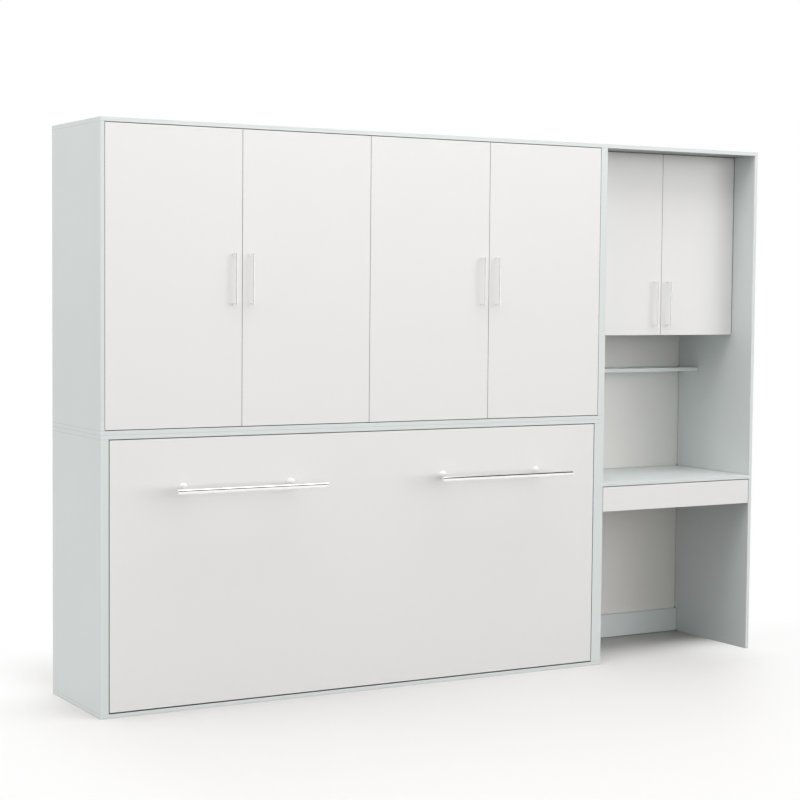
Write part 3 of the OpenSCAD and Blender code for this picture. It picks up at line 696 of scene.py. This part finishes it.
def puff(obj, held):
    """Inflates a closed cloth whose held vertices stay, and caps how far the others move."""
    count = len(obj.data.vertices)
    start = np.empty(count * 3)
    obj.data.vertices.foreach_get("co", start)
    group = obj.vertex_groups.new(name="held")
    group.add([i for i, h in enumerate(held) if h > 0], 1.0, "REPLACE")
    cloth = obj.modifiers.new("puff", "CLOTH")
    cloth.settings.quality = 4
    cloth.settings.mass = 0.3
    cloth.settings.tension_stiffness = cloth.settings.compression_stiffness = 12
    cloth.settings.shear_stiffness = 6
    cloth.settings.bending_stiffness = 0.4
    cloth.settings.use_pressure = True
    cloth.settings.uniform_pressure_force = 4
    cloth.settings.vertex_group_mass = group.name
    cloth.settings.effector_weights.gravity = 0
    cloth.collision_settings.use_collision = False
    cloth.point_cache.frame_start, cloth.point_cache.frame_end = 1, FRAMES
    for step in range(1, FRAMES + 1):
        scene.frame_set(step)
    moved = obj.evaluated_get(bpy.context.evaluated_depsgraph_get()).to_mesh()
    end = np.empty(count * 3)
    moved.vertices.foreach_get("co", end)
    scene.frame_set(1)
    obj.modifiers.remove(cloth)
    obj.vertex_groups.remove(group)
    shift = (end - start).reshape(-1, 3)
    reach = np.linalg.norm(shift, axis=1, keepdims=True)
    soft = PUFF_MAX * np.tanh(reach / PUFF_MAX) / np.maximum(reach, 1e-9)
    return start.reshape(-1, 3) + shift * soft


def press_straps(points, top):
    """Keeps the cloth under the straps, which press the quilting in a little."""
    for x0, x1 in STRAP_XS:
        for p in points:
            if p[1] > top - STRAP_SPARED:
                far = max(x0 - p[0], p[0] - x1, 0.0)
                if far < STRAP_PRESS:
                    p[1] = min(p[1], top - STRAP_SINK + STRAP_RISE * (far / STRAP_PRESS) ** 1.5)


def make_mattress():
    """The padded mattress with its piping, in the place of the CAD's plain solid."""
    lo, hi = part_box("mattress")
    plan = Mattress(Vector(lo), Vector(hi))
    bm, held = plan.build()
    obj = piece("quilted_mattress", bm, "mattress_cover", "bed", sharp=ALL_SMOOTH,
                others=("mattress_border",))
    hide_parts("mattress")
    points = puff(obj, held)
    press_straps(points, hi[1])
    obj.data.vertices.foreach_set("co", points.ravel())
    obj.data.update()
    sub = obj.modifiers.new("smooth", "SUBSURF")
    sub.levels = sub.render_levels = 1
    ring = circle(PIPING_R)
    bm = bmesh.new()
    for y in (plan.y_under + PIPING_R + PIPING_LIFT, plan.y_top - PIPING_SINK):
        sweep(bm, plan.rim_path(y), ring, (0, 1, 0), closed=True)
    piece("mattress_piping", bm, "mattress_piping", "bed", sharp=ALL_SMOOTH)
    make_mattress_handles(plan)


HANDLE_XS = (-0.76, 0.76)      # carrying loops, from the mattress's middle
HANDLE_LEN = 0.19
HANDLE_STEPS = 16
HANDLE_SEWN = 0.15             # share of the length that is sewn down at either end
HANDLE_LIFT = 0.0035           # of the sewn ends off the border
HANDLE_BOW = 0.006             # how much farther the middle stands off
BORDER_SET = 0.001             # how far behind the border's rims loops and vents start
VENT_LIFT = 0.0005
HANDLE_BAND = [(-0.0125, -0.0009), (0.0125, -0.0009), (0.0125, 0.0009), (-0.0125, 0.0009)]
VENT_XS = (-0.92, -0.26, -0.13, 0.13, 0.26, 0.92)
VENT = [(0.0055, 0.0), (0.0105, 0.0), (0.0105, 0.001), (0.009, 0.0026), (0.0065, 0.0026),
        (0.0055, 0.0012), (0, 0.0008)]


def make_mattress_handles(plan):
    """Sewn carrying loops and vent eyelets on the long borders."""
    bm, eyes = bmesh.new(), bmesh.new()
    y = (plan.y_under + plan.y_top) / 2
    for out in (-1, 1):
        z0 = plan.mid.z + out * (plan.hz - BORDER_SET)
        for x in HANDLE_XS:
            path = []
            for k in range(HANDLE_STEPS + 1):
                t = k / HANDLE_STEPS
                loose = min(1, max(0, (t - HANDLE_SEWN) / (1 - 2 * HANDLE_SEWN)))
                lift = HANDLE_LIFT + HANDLE_BOW * math.sin(math.pi * loose) ** 0.8
                path.append((plan.mid.x + x + HANDLE_LEN * (t - 0.5), y, z0 + out * lift))
            sweep(bm, path, HANDLE_BAND, (0, 1, 0))
        for x in VENT_XS:
            lathe(eyes, VENT, (plan.mid.x + x, y, z0 + out * VENT_LIFT), (0, 0, out))
    piece("mattress_handles", bm, "mattress_piping", "bed")
    piece("mattress_vents", eyes, "nickel", "bed")


# ---- Straps: webbing from rail to rail over the mattress, with a buckle each ----

STRAP_XS = [(b[0].x, b[1].x) for b in solids("mattress_straps")]
STRAP_MID = 0.001      # from the box of the CAD's straps to the middle of their thickness
STRAP_FLAT = 0.02      # length that lies on the frame's edge, before the strap slopes in
STRAP_BEND = (0.024, 0.0003)   # the bend's end: how far up, and how far in
STRAP_SLOPE = 86       # the direction, in degrees, in which the slope meets the bend at the top
STRAP_STEPS = 24       # over the top
STRAP_T = 0.0018       # thickness of the webbing
STRAP_CORNER = 0.016   # radius of its bends around the mattress
STRAP_LEAN = 0.009     # how far it slopes in along the border
STRAP_PRESS = 0.05     # reach of the dip beside a strap
STRAP_SINK = 0.004     # depth of the dip under the top of the mattress's box
STRAP_RISE = 0.010     # how far the dip rises again over its reach
STRAP_SPARED = 0.03    # what lies deeper than this keeps its place
BUCKLE_AT = 0.62       # share of the mattress's width
TAIL_START = 0.03      # from the buckle's middle to the loose end
TAIL_STEP = 0.012
TAIL_STEPS = 16
TAIL_LIFT = 0.0026     # off the strap's middle
TAIL_WAVE = (0.0012, 0.9)      # height of its waves, and how fast they come
TAIL_SHARE = (0.98, 0.9)       # of the strap's width and thickness


# Half of the webbing's outline, in half widths and thicknesses: a thicker cord runs along each edge
WEBBING_SIDE = [(-1, -0.5), (-0.93, -0.62), (-0.86, -0.5), (0.86, -0.5), (0.93, -0.62), (1, -0.5)]
WEBBING = WEBBING_SIDE + [(-u, -v) for u, v in WEBBING_SIDE]


def arc(center, r, start, end, steps=8):
    """Points of an arc in the y-z plane; angles in degrees from +y towards +z."""
    out = []
    for k in range(steps + 1):
        a = math.radians(start + (end - start) * k / steps)
        out.append((center[0] + r * math.cos(a), center[1] + r * math.sin(a)))
    return out


def make_straps():
    """Both straps with their loose ends, buckles and buckle bars."""
    lo, hi = (Vector(v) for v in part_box("mattress_straps"))
    bm, buckles, pins = bmesh.new(), bmesh.new(), bmesh.new()
    y_face = hi.y - STRAP_MID
    z_low, z_high = lo.z + STRAP_MID, hi.z - STRAP_MID
    half = (STRAP_XS[0][1] - STRAP_XS[0][0]) / 2
    inset = STRAP_LEAN + STRAP_CORNER
    y_flat, y_bend, z_bend = lo.y + STRAP_FLAT, lo.y + STRAP_BEND[0], STRAP_BEND[1]
    run = ([(lo.y, z_high), (y_flat, z_high), (y_bend, z_high - z_bend)]
           + arc((y_face - STRAP_CORNER, z_high - inset), STRAP_CORNER, STRAP_SLOPE, 0)
           + [(y_face, z_high - inset - (z_high - z_low - 2 * inset) * k / STRAP_STEPS)
              for k in range(1, STRAP_STEPS)]
           + arc((y_face - STRAP_CORNER, z_low + inset), STRAP_CORNER, 0, -STRAP_SLOPE)
           + [(y_bend, z_low + z_bend), (y_flat, z_low), (lo.y, z_low)])
    band = [(half * u, STRAP_T * v) for u, v in WEBBING]
    for x0, x1 in STRAP_XS:
        x = (x0 + x1) / 2
        sweep(bm, [(x, y, z) for y, z in run], band, (1, 0, 0))
        # the loose end lies on the strap below the buckle, under a keeper
        z = z_low + BUCKLE_AT * (z_high - z_low)
        wave, pace = TAIL_WAVE
        tail = [(x, y_face + TAIL_LIFT + wave * math.sin(k * pace), z - TAIL_START - TAIL_STEP * k)
                for k in range(TAIL_STEPS)]
        sweep(bm, tail, [(u * TAIL_SHARE[0], v * TAIL_SHARE[1]) for u, v in band], (1, 0, 0))
        make_buckle(buckles, pins, x, y_face + STRAP_MID, z)
    straps = piece("webbing_straps", bm, "strap_webbing", "bed", sharp=50)
    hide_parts("mattress_straps")
    piece("strap_buckles", buckles, "black_plastic", "bed")
    piece("strap_buckle_bars", pins, "zinc_steel", "bed")


# The buckle's plates: outline around its middle, thickness and broken edge
SHELL = ([(-0.026, -0.03), (-0.027, -0.012), (-0.0235, -0.006), (-0.0235, 0.004), (-0.025, 0.012),
          (0.025, 0.012), (0.0235, 0.004), (0.0235, -0.006), (0.027, -0.012), (0.026, -0.03)],
         0.0095, 0.0015)
PLUG = ([(-0.0255, 0.0128), (-0.0265, 0.024), (-0.025, 0.036), (0.025, 0.036), (0.0265, 0.024),
         (0.0255, 0.0128)], 0.0085, 0.0015)
PRONGS = [([(side * 0.0236, -0.0055), (side * 0.0285, -0.002), (side * 0.0285, 0.004),
            (side * 0.0236, 0.0075)], 0.0055, 0.001) for side in (-1, 1)]
RIDGE = (round_box(0.034, 0.0016, 0.0007), 0.0009, 0.0003)
KEEPER = (round_box(0.044, 0.012, 0.002), 0.004, 0.001)
PRONG_LIFT = 0.002
RIDGES = 4
RIDGE_LIFT = 0.0094
RIDGE_START = 0.0105   # from the buckle's middle to the first ridge
RIDGE_PITCH = 0.0042
KEEPER_LIFT = 0.0012
KEEPER_AT = 0.125      # from the buckle's middle
PIN_R = 0.0018         # the bar in the plug, around which the strap goes
PIN_LIFT = 0.011
PIN_AT = 0.0295        # from the buckle's middle
PIN_STEPS = 8
PIN_STEP = 0.005


def make_buckle(bm, pins, x, y, z):
    """A side-release buckle, lying on the strap."""
    def plate(form, y, z):
        outline, thick, edge = form
        slab(bm, outline, (x, y, z), (1, 0, 0), (0, 0, 1), (0, 1, 0), thick, edge)

    plate(SHELL, y, z)
    plate(PLUG, y, z)
    for prong in PRONGS:
        plate(prong, y + PRONG_LIFT, z)
    for k in range(RIDGES):
        plate(RIDGE, y + RIDGE_LIFT, z - RIDGE_START - RIDGE_PITCH * k)
    plate(KEEPER, y + KEEPER_LIFT, z - KEEPER_AT)
    start = x - PIN_STEP * PIN_STEPS / 2
    bar = [(start + PIN_STEP * k, y + PIN_LIFT, z + PIN_AT) for k in range(PIN_STEPS + 1)]
    sweep(pins, bar, circle(PIN_R), (0, 0, 1))


# ---- Fittings ----


def hinge_side(n):
    """+1 where door n's cups sit towards its low-x edge."""
    lo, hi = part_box("door_%d" % n)
    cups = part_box("door_%d_hinge_cups" % n)
    return 1 if cups[0][0] - lo[0] < hi[0] - cups[1][0] else -1


DOORS = range(1, 7)
# Radii of the heads
PLATE_SCREW_R = 0.0042
CUP_SCREW_R = 0.0036
HANDLE_SCREW_R = 0.0045
BRACKET_SCREW_R = 0.005
SLIDE_SCREW_R = 0.003
BACK_SCREW_R = 0.0032
PLATE_BOLT_R = 0.005
DOOR_REACH = 0.03           # how far beyond a door's edge its hinge arms may stand
PLATE_T = 0.0022            # thickness of a hinge's mounting plate
PLATE_SCREW_Y = 0.0355      # from the front of a hinge arm's solid to its plate's screws
PLATE_SCREW_Z = 0.017       # from the plate's middle up and down to its screws
CUP_SCREW_Z = 0.0225        # from the cup's middle up and down to its screws
HANDLE_R = 0.004            # a door handle's post
FLAT_HEAD = 0.25            # share of a pan head's height, for the slides' play of 0.6 mm
BRACKET_T = 0.003           # thickness of the cabinet's pivot plates
BRACKET_R = 0.02            # radius of their round ends
BRACKET_SCREW_ZS = (0.05, 0.09, 0.13)
SLIDE_WALL = 0.0012
SLIDE_SCREW_YS = (0.05, 0.2, 0.34)
STUD_REACH = 0.0187         # from the end of the bed plate's ball stud to the plate's face
TAB_HALF = 0.06             # half the height of the bed plate where it lies on the frame
PLATE_BOLT_Y = 0.012        # frame's front face to the plate bolts, whose heads clear the gas struts
PLATE_BOLT_Z = 0.045        # from the plate's middle up and down to its bolts
BACK_SCREW_PITCH = 0.24     # the most between two screws of a back panel
BACK_SCREW_INSET = 0.008    # from the panel's edge to the screws, in the middle of the board's end
DOOR_ROSETTE = [(0.0062, 0), (0.0062, 0.0007), (0.0059, 0.0011), (0.0041, 0.0013), (0.0038, 0.0013)]
LEG_ROSETTE = [(0.0175, 0), (0.0175, 0.0012), (0.0170, 0.0022), (0.0145, 0.0034), (0.0092, 0.0036)]


def handle_posts(n):
    """The x and the two z of a door handle's posts."""
    lo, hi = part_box("door_%d_handle" % n)
    return (lo[0] + hi[0]) / 2, (lo[2] + HANDLE_R, hi[2] - HANDLE_R)


def make_hinge_screws():
    """Screws of the hinges' mounting plates and cups, and those that hold the handles."""
    bm = bmesh.new()
    for lo, hi in solids("hinge_arms"):
        middle = (lo + hi) / 2
        for n in DOORS:
            dlo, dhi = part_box("door_%d" % n)
            if (dlo[0] - DOOR_REACH < middle.x < dhi[0] + DOOR_REACH
                    and dlo[2] < middle.z < dhi[2]):
                side = hinge_side(n)
                x = (lo.x if side > 0 else hi.x) + side * PLATE_T
                for up in (-PLATE_SCREW_Z, PLATE_SCREW_Z):
                    screw(bm, (x, lo.y + PLATE_SCREW_Y, middle.z + up), (side, 0, 0), PLATE_SCREW_R)
                break
    piece("hinge_plate_screws", bm, "nickel", "cabinet")
    for n in DOORS:
        bm = bmesh.new()
        for lo, hi in solids("door_%d_hinge_cups" % n):
            x, z = (lo.x + hi.x) / 2, (lo.z + hi.z) / 2
            for up in (-CUP_SCREW_Z, CUP_SCREW_Z):
                screw(bm, (x, hi.y, z + up), (0, 1, 0), CUP_SCREW_R)
        x, zs = handle_posts(n)
        for z in zs:
            screw(bm, (x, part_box("door_%d" % n)[1][1], z), (0, 1, 0), HANDLE_SCREW_R)
        piece("door_%d_screws" % n, bm, "nickel", "door_leaf_%d" % n)


def make_rosettes():
    """Small flanges where the handles and the leg bars meet the fronts."""
    for n in DOORS:
        bm = bmesh.new()
        x, zs = handle_posts(n)
        for z in zs:
            lathe(bm, DOOR_ROSETTE, (x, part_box("door_%d" % n)[0][1], z), (0, -1, 0))
        piece("door_%d_rosettes" % n, bm, "chrome", "door_leaf_%d" % n)
    bm = bmesh.new()
    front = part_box("bed_front")[0][1]
    for lo, hi in solids("leg_bolts"):
        lathe(bm, LEG_ROSETTE, ((lo.x + hi.x) / 2, front, (lo.z + hi.z) / 2), (0, -1, 0), steps=32)
    piece("leg_rosettes", bm, "white_flange", "bed")


def make_fixings():
    """Screws of the cabinet's pivot plates and the slides, and bolts of the bed's pivot plates."""
    bm = bmesh.new()
    for lo, hi in solids("pivot_brackets"):
        side = 1 if lo.x < 0 else -1
        x = (lo.x if side > 0 else hi.x) + side * BRACKET_T
        for up in BRACKET_SCREW_ZS:
            screw(bm, (x, lo.y + BRACKET_R, lo.z + up), (side, 0, 0), BRACKET_SCREW_R)
    left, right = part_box("desktop")
    for lo, hi in solids("drawer_slide_outers"):
        side = 1 if lo.x + hi.x < left[0] + right[0] else -1
        x = (lo.x if side > 0 else hi.x) + side * SLIDE_WALL
        for deep in SLIDE_SCREW_YS:
            screw(bm, (x, lo.y + deep, (lo.z + hi.z) / 2), (side, 0, 0), SLIDE_SCREW_R, FLAT_HEAD)
    piece("cabinet_screws", bm, "zinc_steel", "cabinet")
    bm = bmesh.new()
    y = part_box("frame_rails")[0][1] + PLATE_BOLT_Y
    for lo, hi in solids("bed_pivot_plates"):
        side = 1 if lo.x < 0 else -1
        x = lo.x + STUD_REACH if side > 0 else hi.x - STUD_REACH
        for up in (-PLATE_BOLT_Z, PLATE_BOLT_Z):
            hex_bolt(bm, (x, y, hi.z - TAB_HALF + up), (-side, 0, 0), PLATE_BOLT_R)
    piece("frame_bolts", bm, "zinc_steel", "bed")


def make_back_screws():
    """The screws around the back panels, which hold them on the boards' back edges."""
    bm = bmesh.new()
    for node in ("lower_back", "upper_back", "desk_back"):
        lo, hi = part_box(node)
        spans = [(lo[a] + BACK_SCREW_INSET, hi[a] - BACK_SCREW_INSET) for a in (0, 2)]
        places = set()
        for a, (start, end) in enumerate(spans):
            count = math.ceil((end - start) / BACK_SCREW_PITCH)
            for k in range(count + 1):
                along = start + (end - start) * k / count
                for across in spans[1 - a]:
                    places.add((along, across) if a == 0 else (across, along))
        for x, z in sorted(places):
            screw(bm, (x, hi[1], z), (0, 1, 0), BACK_SCREW_R)
    piece("back_panel_screws", bm, "zinc_steel", "cabinet")


# ---- Studio: floor, flag, world and lamp ----

FLOOR_SIZE = 60.0
HALF_WIDE = 1.53                # the piece's ground plan, within which the floor keeps its own colour
FRONT_Y = -0.18
BACK_Y = 0.33
SKY_REACH = 0.9
# Painted shade on the floor where little sky is open, as under the desk: the least and the most open
# sky, and the shade at the least
PAINTED_FLOOR_SHADE = (0.12, 0.42, 0.62)
BOUNCE = linear(112, 112, 111)     # the floor as the other surfaces see it
# Where the floor turns white away from the piece, as backdrop far off and as painted light nearer: the
# start, the end, and how far it gets
FADE_LEFT = (-1.40, -2.0, 0.8)
# painted light from the right, which sets in closer to the piece than on the left
FADE_RIGHT = (1.05, 1.65, 0.75)
FADE_ALONG = (-0.7, 0.6, 0.22)     # painted light, rising a little from the left to the right
FADE_FRONT = (0.6, 3.0, 1.0)
FADE_BEHIND = (0.35, 1.3, 1.0)
FADE_BESIDE = (-0.05, 0.5, 1.0)    # behind, on either side of the piece
BESIDE = (1.3, 1.75, 1.0)          # where one passes into the other
UNDER_FRONT = (-0.36, -0.05, 1.0)  # where the fade sets in under the front edge
SLANT = (0.2, 0.7)                 # the shade's right edge, where the painted light takes over, runs to the left from here, and how fast


def stage_object(name, mesh, material):
    """Something of the studio, which is no piece of the object."""
    mesh.materials.append(material)
    obj = bpy.data.objects.new(name, mesh)
    scene.collection.objects.link(obj)
    return obj


def make_floor():
    """A pale floor that keeps the piece's shade and has painted shade where little sky is open, as
    under the desk; it turns white away from the piece, with painted light that reaches in further from
    the right.
    """
    m = Nodes("studio_floor", Roughness=0.6, Specular_IOR_Level=0.2)
    x, y, _ = m.axes()
    front = m.math("SUBTRACT", FRONT_Y, y)
    wide = m.math("ABSOLUTE", x)

    def rise(value, span):
        ends = dict(zip(("From Min", "From Max", "To Max"), span))
        return m.add("ShaderNodeMapRange", {"Value": value, **ends},
                     interpolation_type="SMOOTHSTEP").outputs["Result"]

    past = m.math("MAXIMUM", m.math("SUBTRACT", front, SLANT[0]), 0.0)
    slant = m.math("ADD", x, m.math("MULTIPLY", past, SLANT[1]))
    behind = m.blend(rise(wide, BESIDE), rise(y, FADE_BEHIND), rise(y, FADE_BESIDE))
    kept = 1.0
    for part in (rise(x, FADE_LEFT), rise(slant, FADE_RIGHT), rise(x, FADE_ALONG),
                 rise(front, FADE_FRONT), behind):
        kept = m.math("MULTIPLY", kept, m.math("SUBTRACT", 1.0, part))
    outside = m.math("MAXIMUM", rise(front, UNDER_FRONT), m.math("GREATER_THAN", y, BACK_Y))
    outside = m.math("MAXIMUM", outside, m.math("GREATER_THAN", wide, HALF_WIDE))
    # white backdrop far off, and nearer the piece painted light that reaches in further from the right
    backdrop_and_painted_light = m.math("MULTIPLY", outside, m.math("SUBTRACT", 1.0, kept))
    clear = m.direct(m.add("ShaderNodeLightPath").outputs)
    low, high, darkest = PAINTED_FLOOR_SHADE
    # painted shade: the floor darkens where little sky is open within its reach
    shade = m.remap(m.open_air(SKY_REACH, 8), low, high, darkest, 1.0)
    pale = m.mix(m.noise(3.0, 2.0), linear(218, 216, 215), linear(220, 218, 217))
    m.color(m.mix(clear, BOUNCE, m.mix(shade, (0, 0, 0, 1), pale)))
    white = m.add("ShaderNodeEmission", {"Color": (1, 1, 1, 1), "Strength": 1.0}).outputs[0]
    both = m.add("ShaderNodeMixShader", {0: m.math("MULTIPLY", backdrop_and_painted_light, clear), 1: m.bsdf.outputs[0],
                                         2: white})
    m.surface(both.outputs[0])
    bm = bmesh.new()
    bmesh.ops.create_grid(bm, x_segments=8, y_segments=8, size=FLOOR_SIZE / 2)
    mesh = bpy.data.meshes.new("studio_floor")
    bm.to_mesh(mesh)
    bm.free()
    stage_object("studio_floor", mesh, m.mat)


FLAG_GAP = 0.44      # from the piece's top to the flag
FLAG_REACH = (1.525, -0.18, 0.33)   # half its width, its front edge and its back edge
FLAG_OPEN = 0.2      # the share of the light that goes through it


def make_flag():
    """A grey net above the piece that keeps its top from burning out; only diffuse light meets it."""
    m = Nodes("studio_flag", Roughness=0.9)
    m.color(m.mix(m.noise(4.0, 2.0), linear(70, 70, 70), linear(76, 76, 76)))
    clear = m.add("ShaderNodeBsdfTransparent").outputs[0]
    m.surface(m.add("ShaderNodeMixShader", {0: FLAG_OPEN, 1: m.bsdf.outputs[0], 2: clear}).outputs[0])
    half, front, back = FLAG_REACH
    z = cad_box[1][2] + FLAG_GAP
    corners = [(-half, front, z), (half, front, z), (half, back, z), (-half, back, z)]
    mesh = bpy.data.meshes.new("studio_flag")
    mesh.from_pydata(corners, [], [(0, 1, 2, 3)])
    flag = stage_object("studio_flag", mesh, m.mat)
    flag.visible_camera = flag.visible_glossy = flag.visible_transmission = False


# The light of the room, as lobes: direction it comes from, how narrow, how strong
LOBES = [((0, 0, 1), 2, 1.72), ((0.7, -1, 0.1), 12, 4.5), ((0, -1, 0.02), 60, 3.4),
         ((-0.3, -1, 0.05), 40, 1.5), ((-1, 0, 0.1), 5, 1.5), ((-1, 0.6, 0.1), 5, 1.3),
         ((0.7, 1, 0.3), 3, 0.7)]
# Two dark things in the room, which only polished round bars mirror: (middle, half width, shade),
# the first by its rise above the horizon in front, the second by its turn from the front to the left
GLINT_ABOVE = (math.radians(50), math.radians(26), 0.03)
GLINT_LEFT = (math.radians(68), math.radians(30), 0.4)


def make_world():
    """A room that lights by its lobes and is white in itself, with two dark things to mirror."""
    world = bpy.data.worlds.new("studio")
    t = Tree(world)
    seen = t.add("ShaderNodeLightPath").outputs
    clear = t.direct(seen)
    way = t.add("ShaderNodeTexCoord").outputs["Generated"]
    light = 0.0
    for axis, narrow, strength in LOBES:
        facing = t.add("ShaderNodeVectorMath", {0: way, 1: Vector(axis).normalized()},
                       operation="DOT_PRODUCT").outputs["Value"]
        part = t.math("MULTIPLY", t.math("POWER", t.math("MAXIMUM", facing, 0.0), narrow), strength)
        light = t.math("ADD", light, part)
    lit = t.add("ShaderNodeBackground", {"Color": (1, 1, 1, 1), "Strength": light})
    sides = t.add("ShaderNodeSeparateXYZ", {0: way}).outputs
    ahead = t.math("MULTIPLY", sides["Y"], -1.0)
    rise = t.math("ARCTAN2", sides["Z"], ahead)
    turn = t.math("ARCTAN2", t.math("MULTIPLY", sides["X"], -1.0), ahead)
    shown = 1.0
    for angle, (middle, half, shade) in ((rise, GLINT_ABOVE), (turn, GLINT_LEFT)):
        off = t.math("ABSOLUTE", t.math("SUBTRACT", angle, middle), 0.0)
        bar = t.math("MULTIPLY", t.math("LESS_THAN", off, half), seen["Is Glossy Ray"])
        shown = t.math("MULTIPLY", shown, t.math("SUBTRACT", 1.0, t.math("MULTIPLY", bar, 1.0 - shade)))
    white = t.add("ShaderNodeBackground", {"Color": (1, 1, 1, 1), "Strength": shown})
    both = t.add("ShaderNodeMixShader", {0: clear, 1: lit.outputs[0], 2: white.outputs[0]})
    t.add("ShaderNodeOutputWorld", {"Surface": both.outputs[0]})
    scene.world = world


LAMP_PLACE = (0, -1.6, 5.0)
LAMP_AIM = (0, -0.6, 0)
LAMP_SIZE = (5.0, 2.0)
LAMP_POWER = 63


def make_lamp():
    """One wide soft lamp above the front."""
    data = bpy.data.lights.new("top", "AREA")
    data.shape = "RECTANGLE"
    data.size, data.size_y = LAMP_SIZE
    data.energy = LAMP_POWER
    lamp = bpy.data.objects.new("top", data)
    lamp.location = LAMP_PLACE
    lamp.rotation_euler = (Vector(LAMP_AIM) - Vector(LAMP_PLACE)).to_track_quat("-Z", "Y").to_euler()
    scene.collection.objects.link(lamp)


# ---- The whole scene ----

make_camera()
dress_nodes()
make_mattress()
make_straps()
make_hinge_screws()
make_rosettes()
make_fixings()
make_back_screws()
make_floor()
make_flag()
make_world()
make_lamp()

scene.view_settings.view_transform = "Standard"
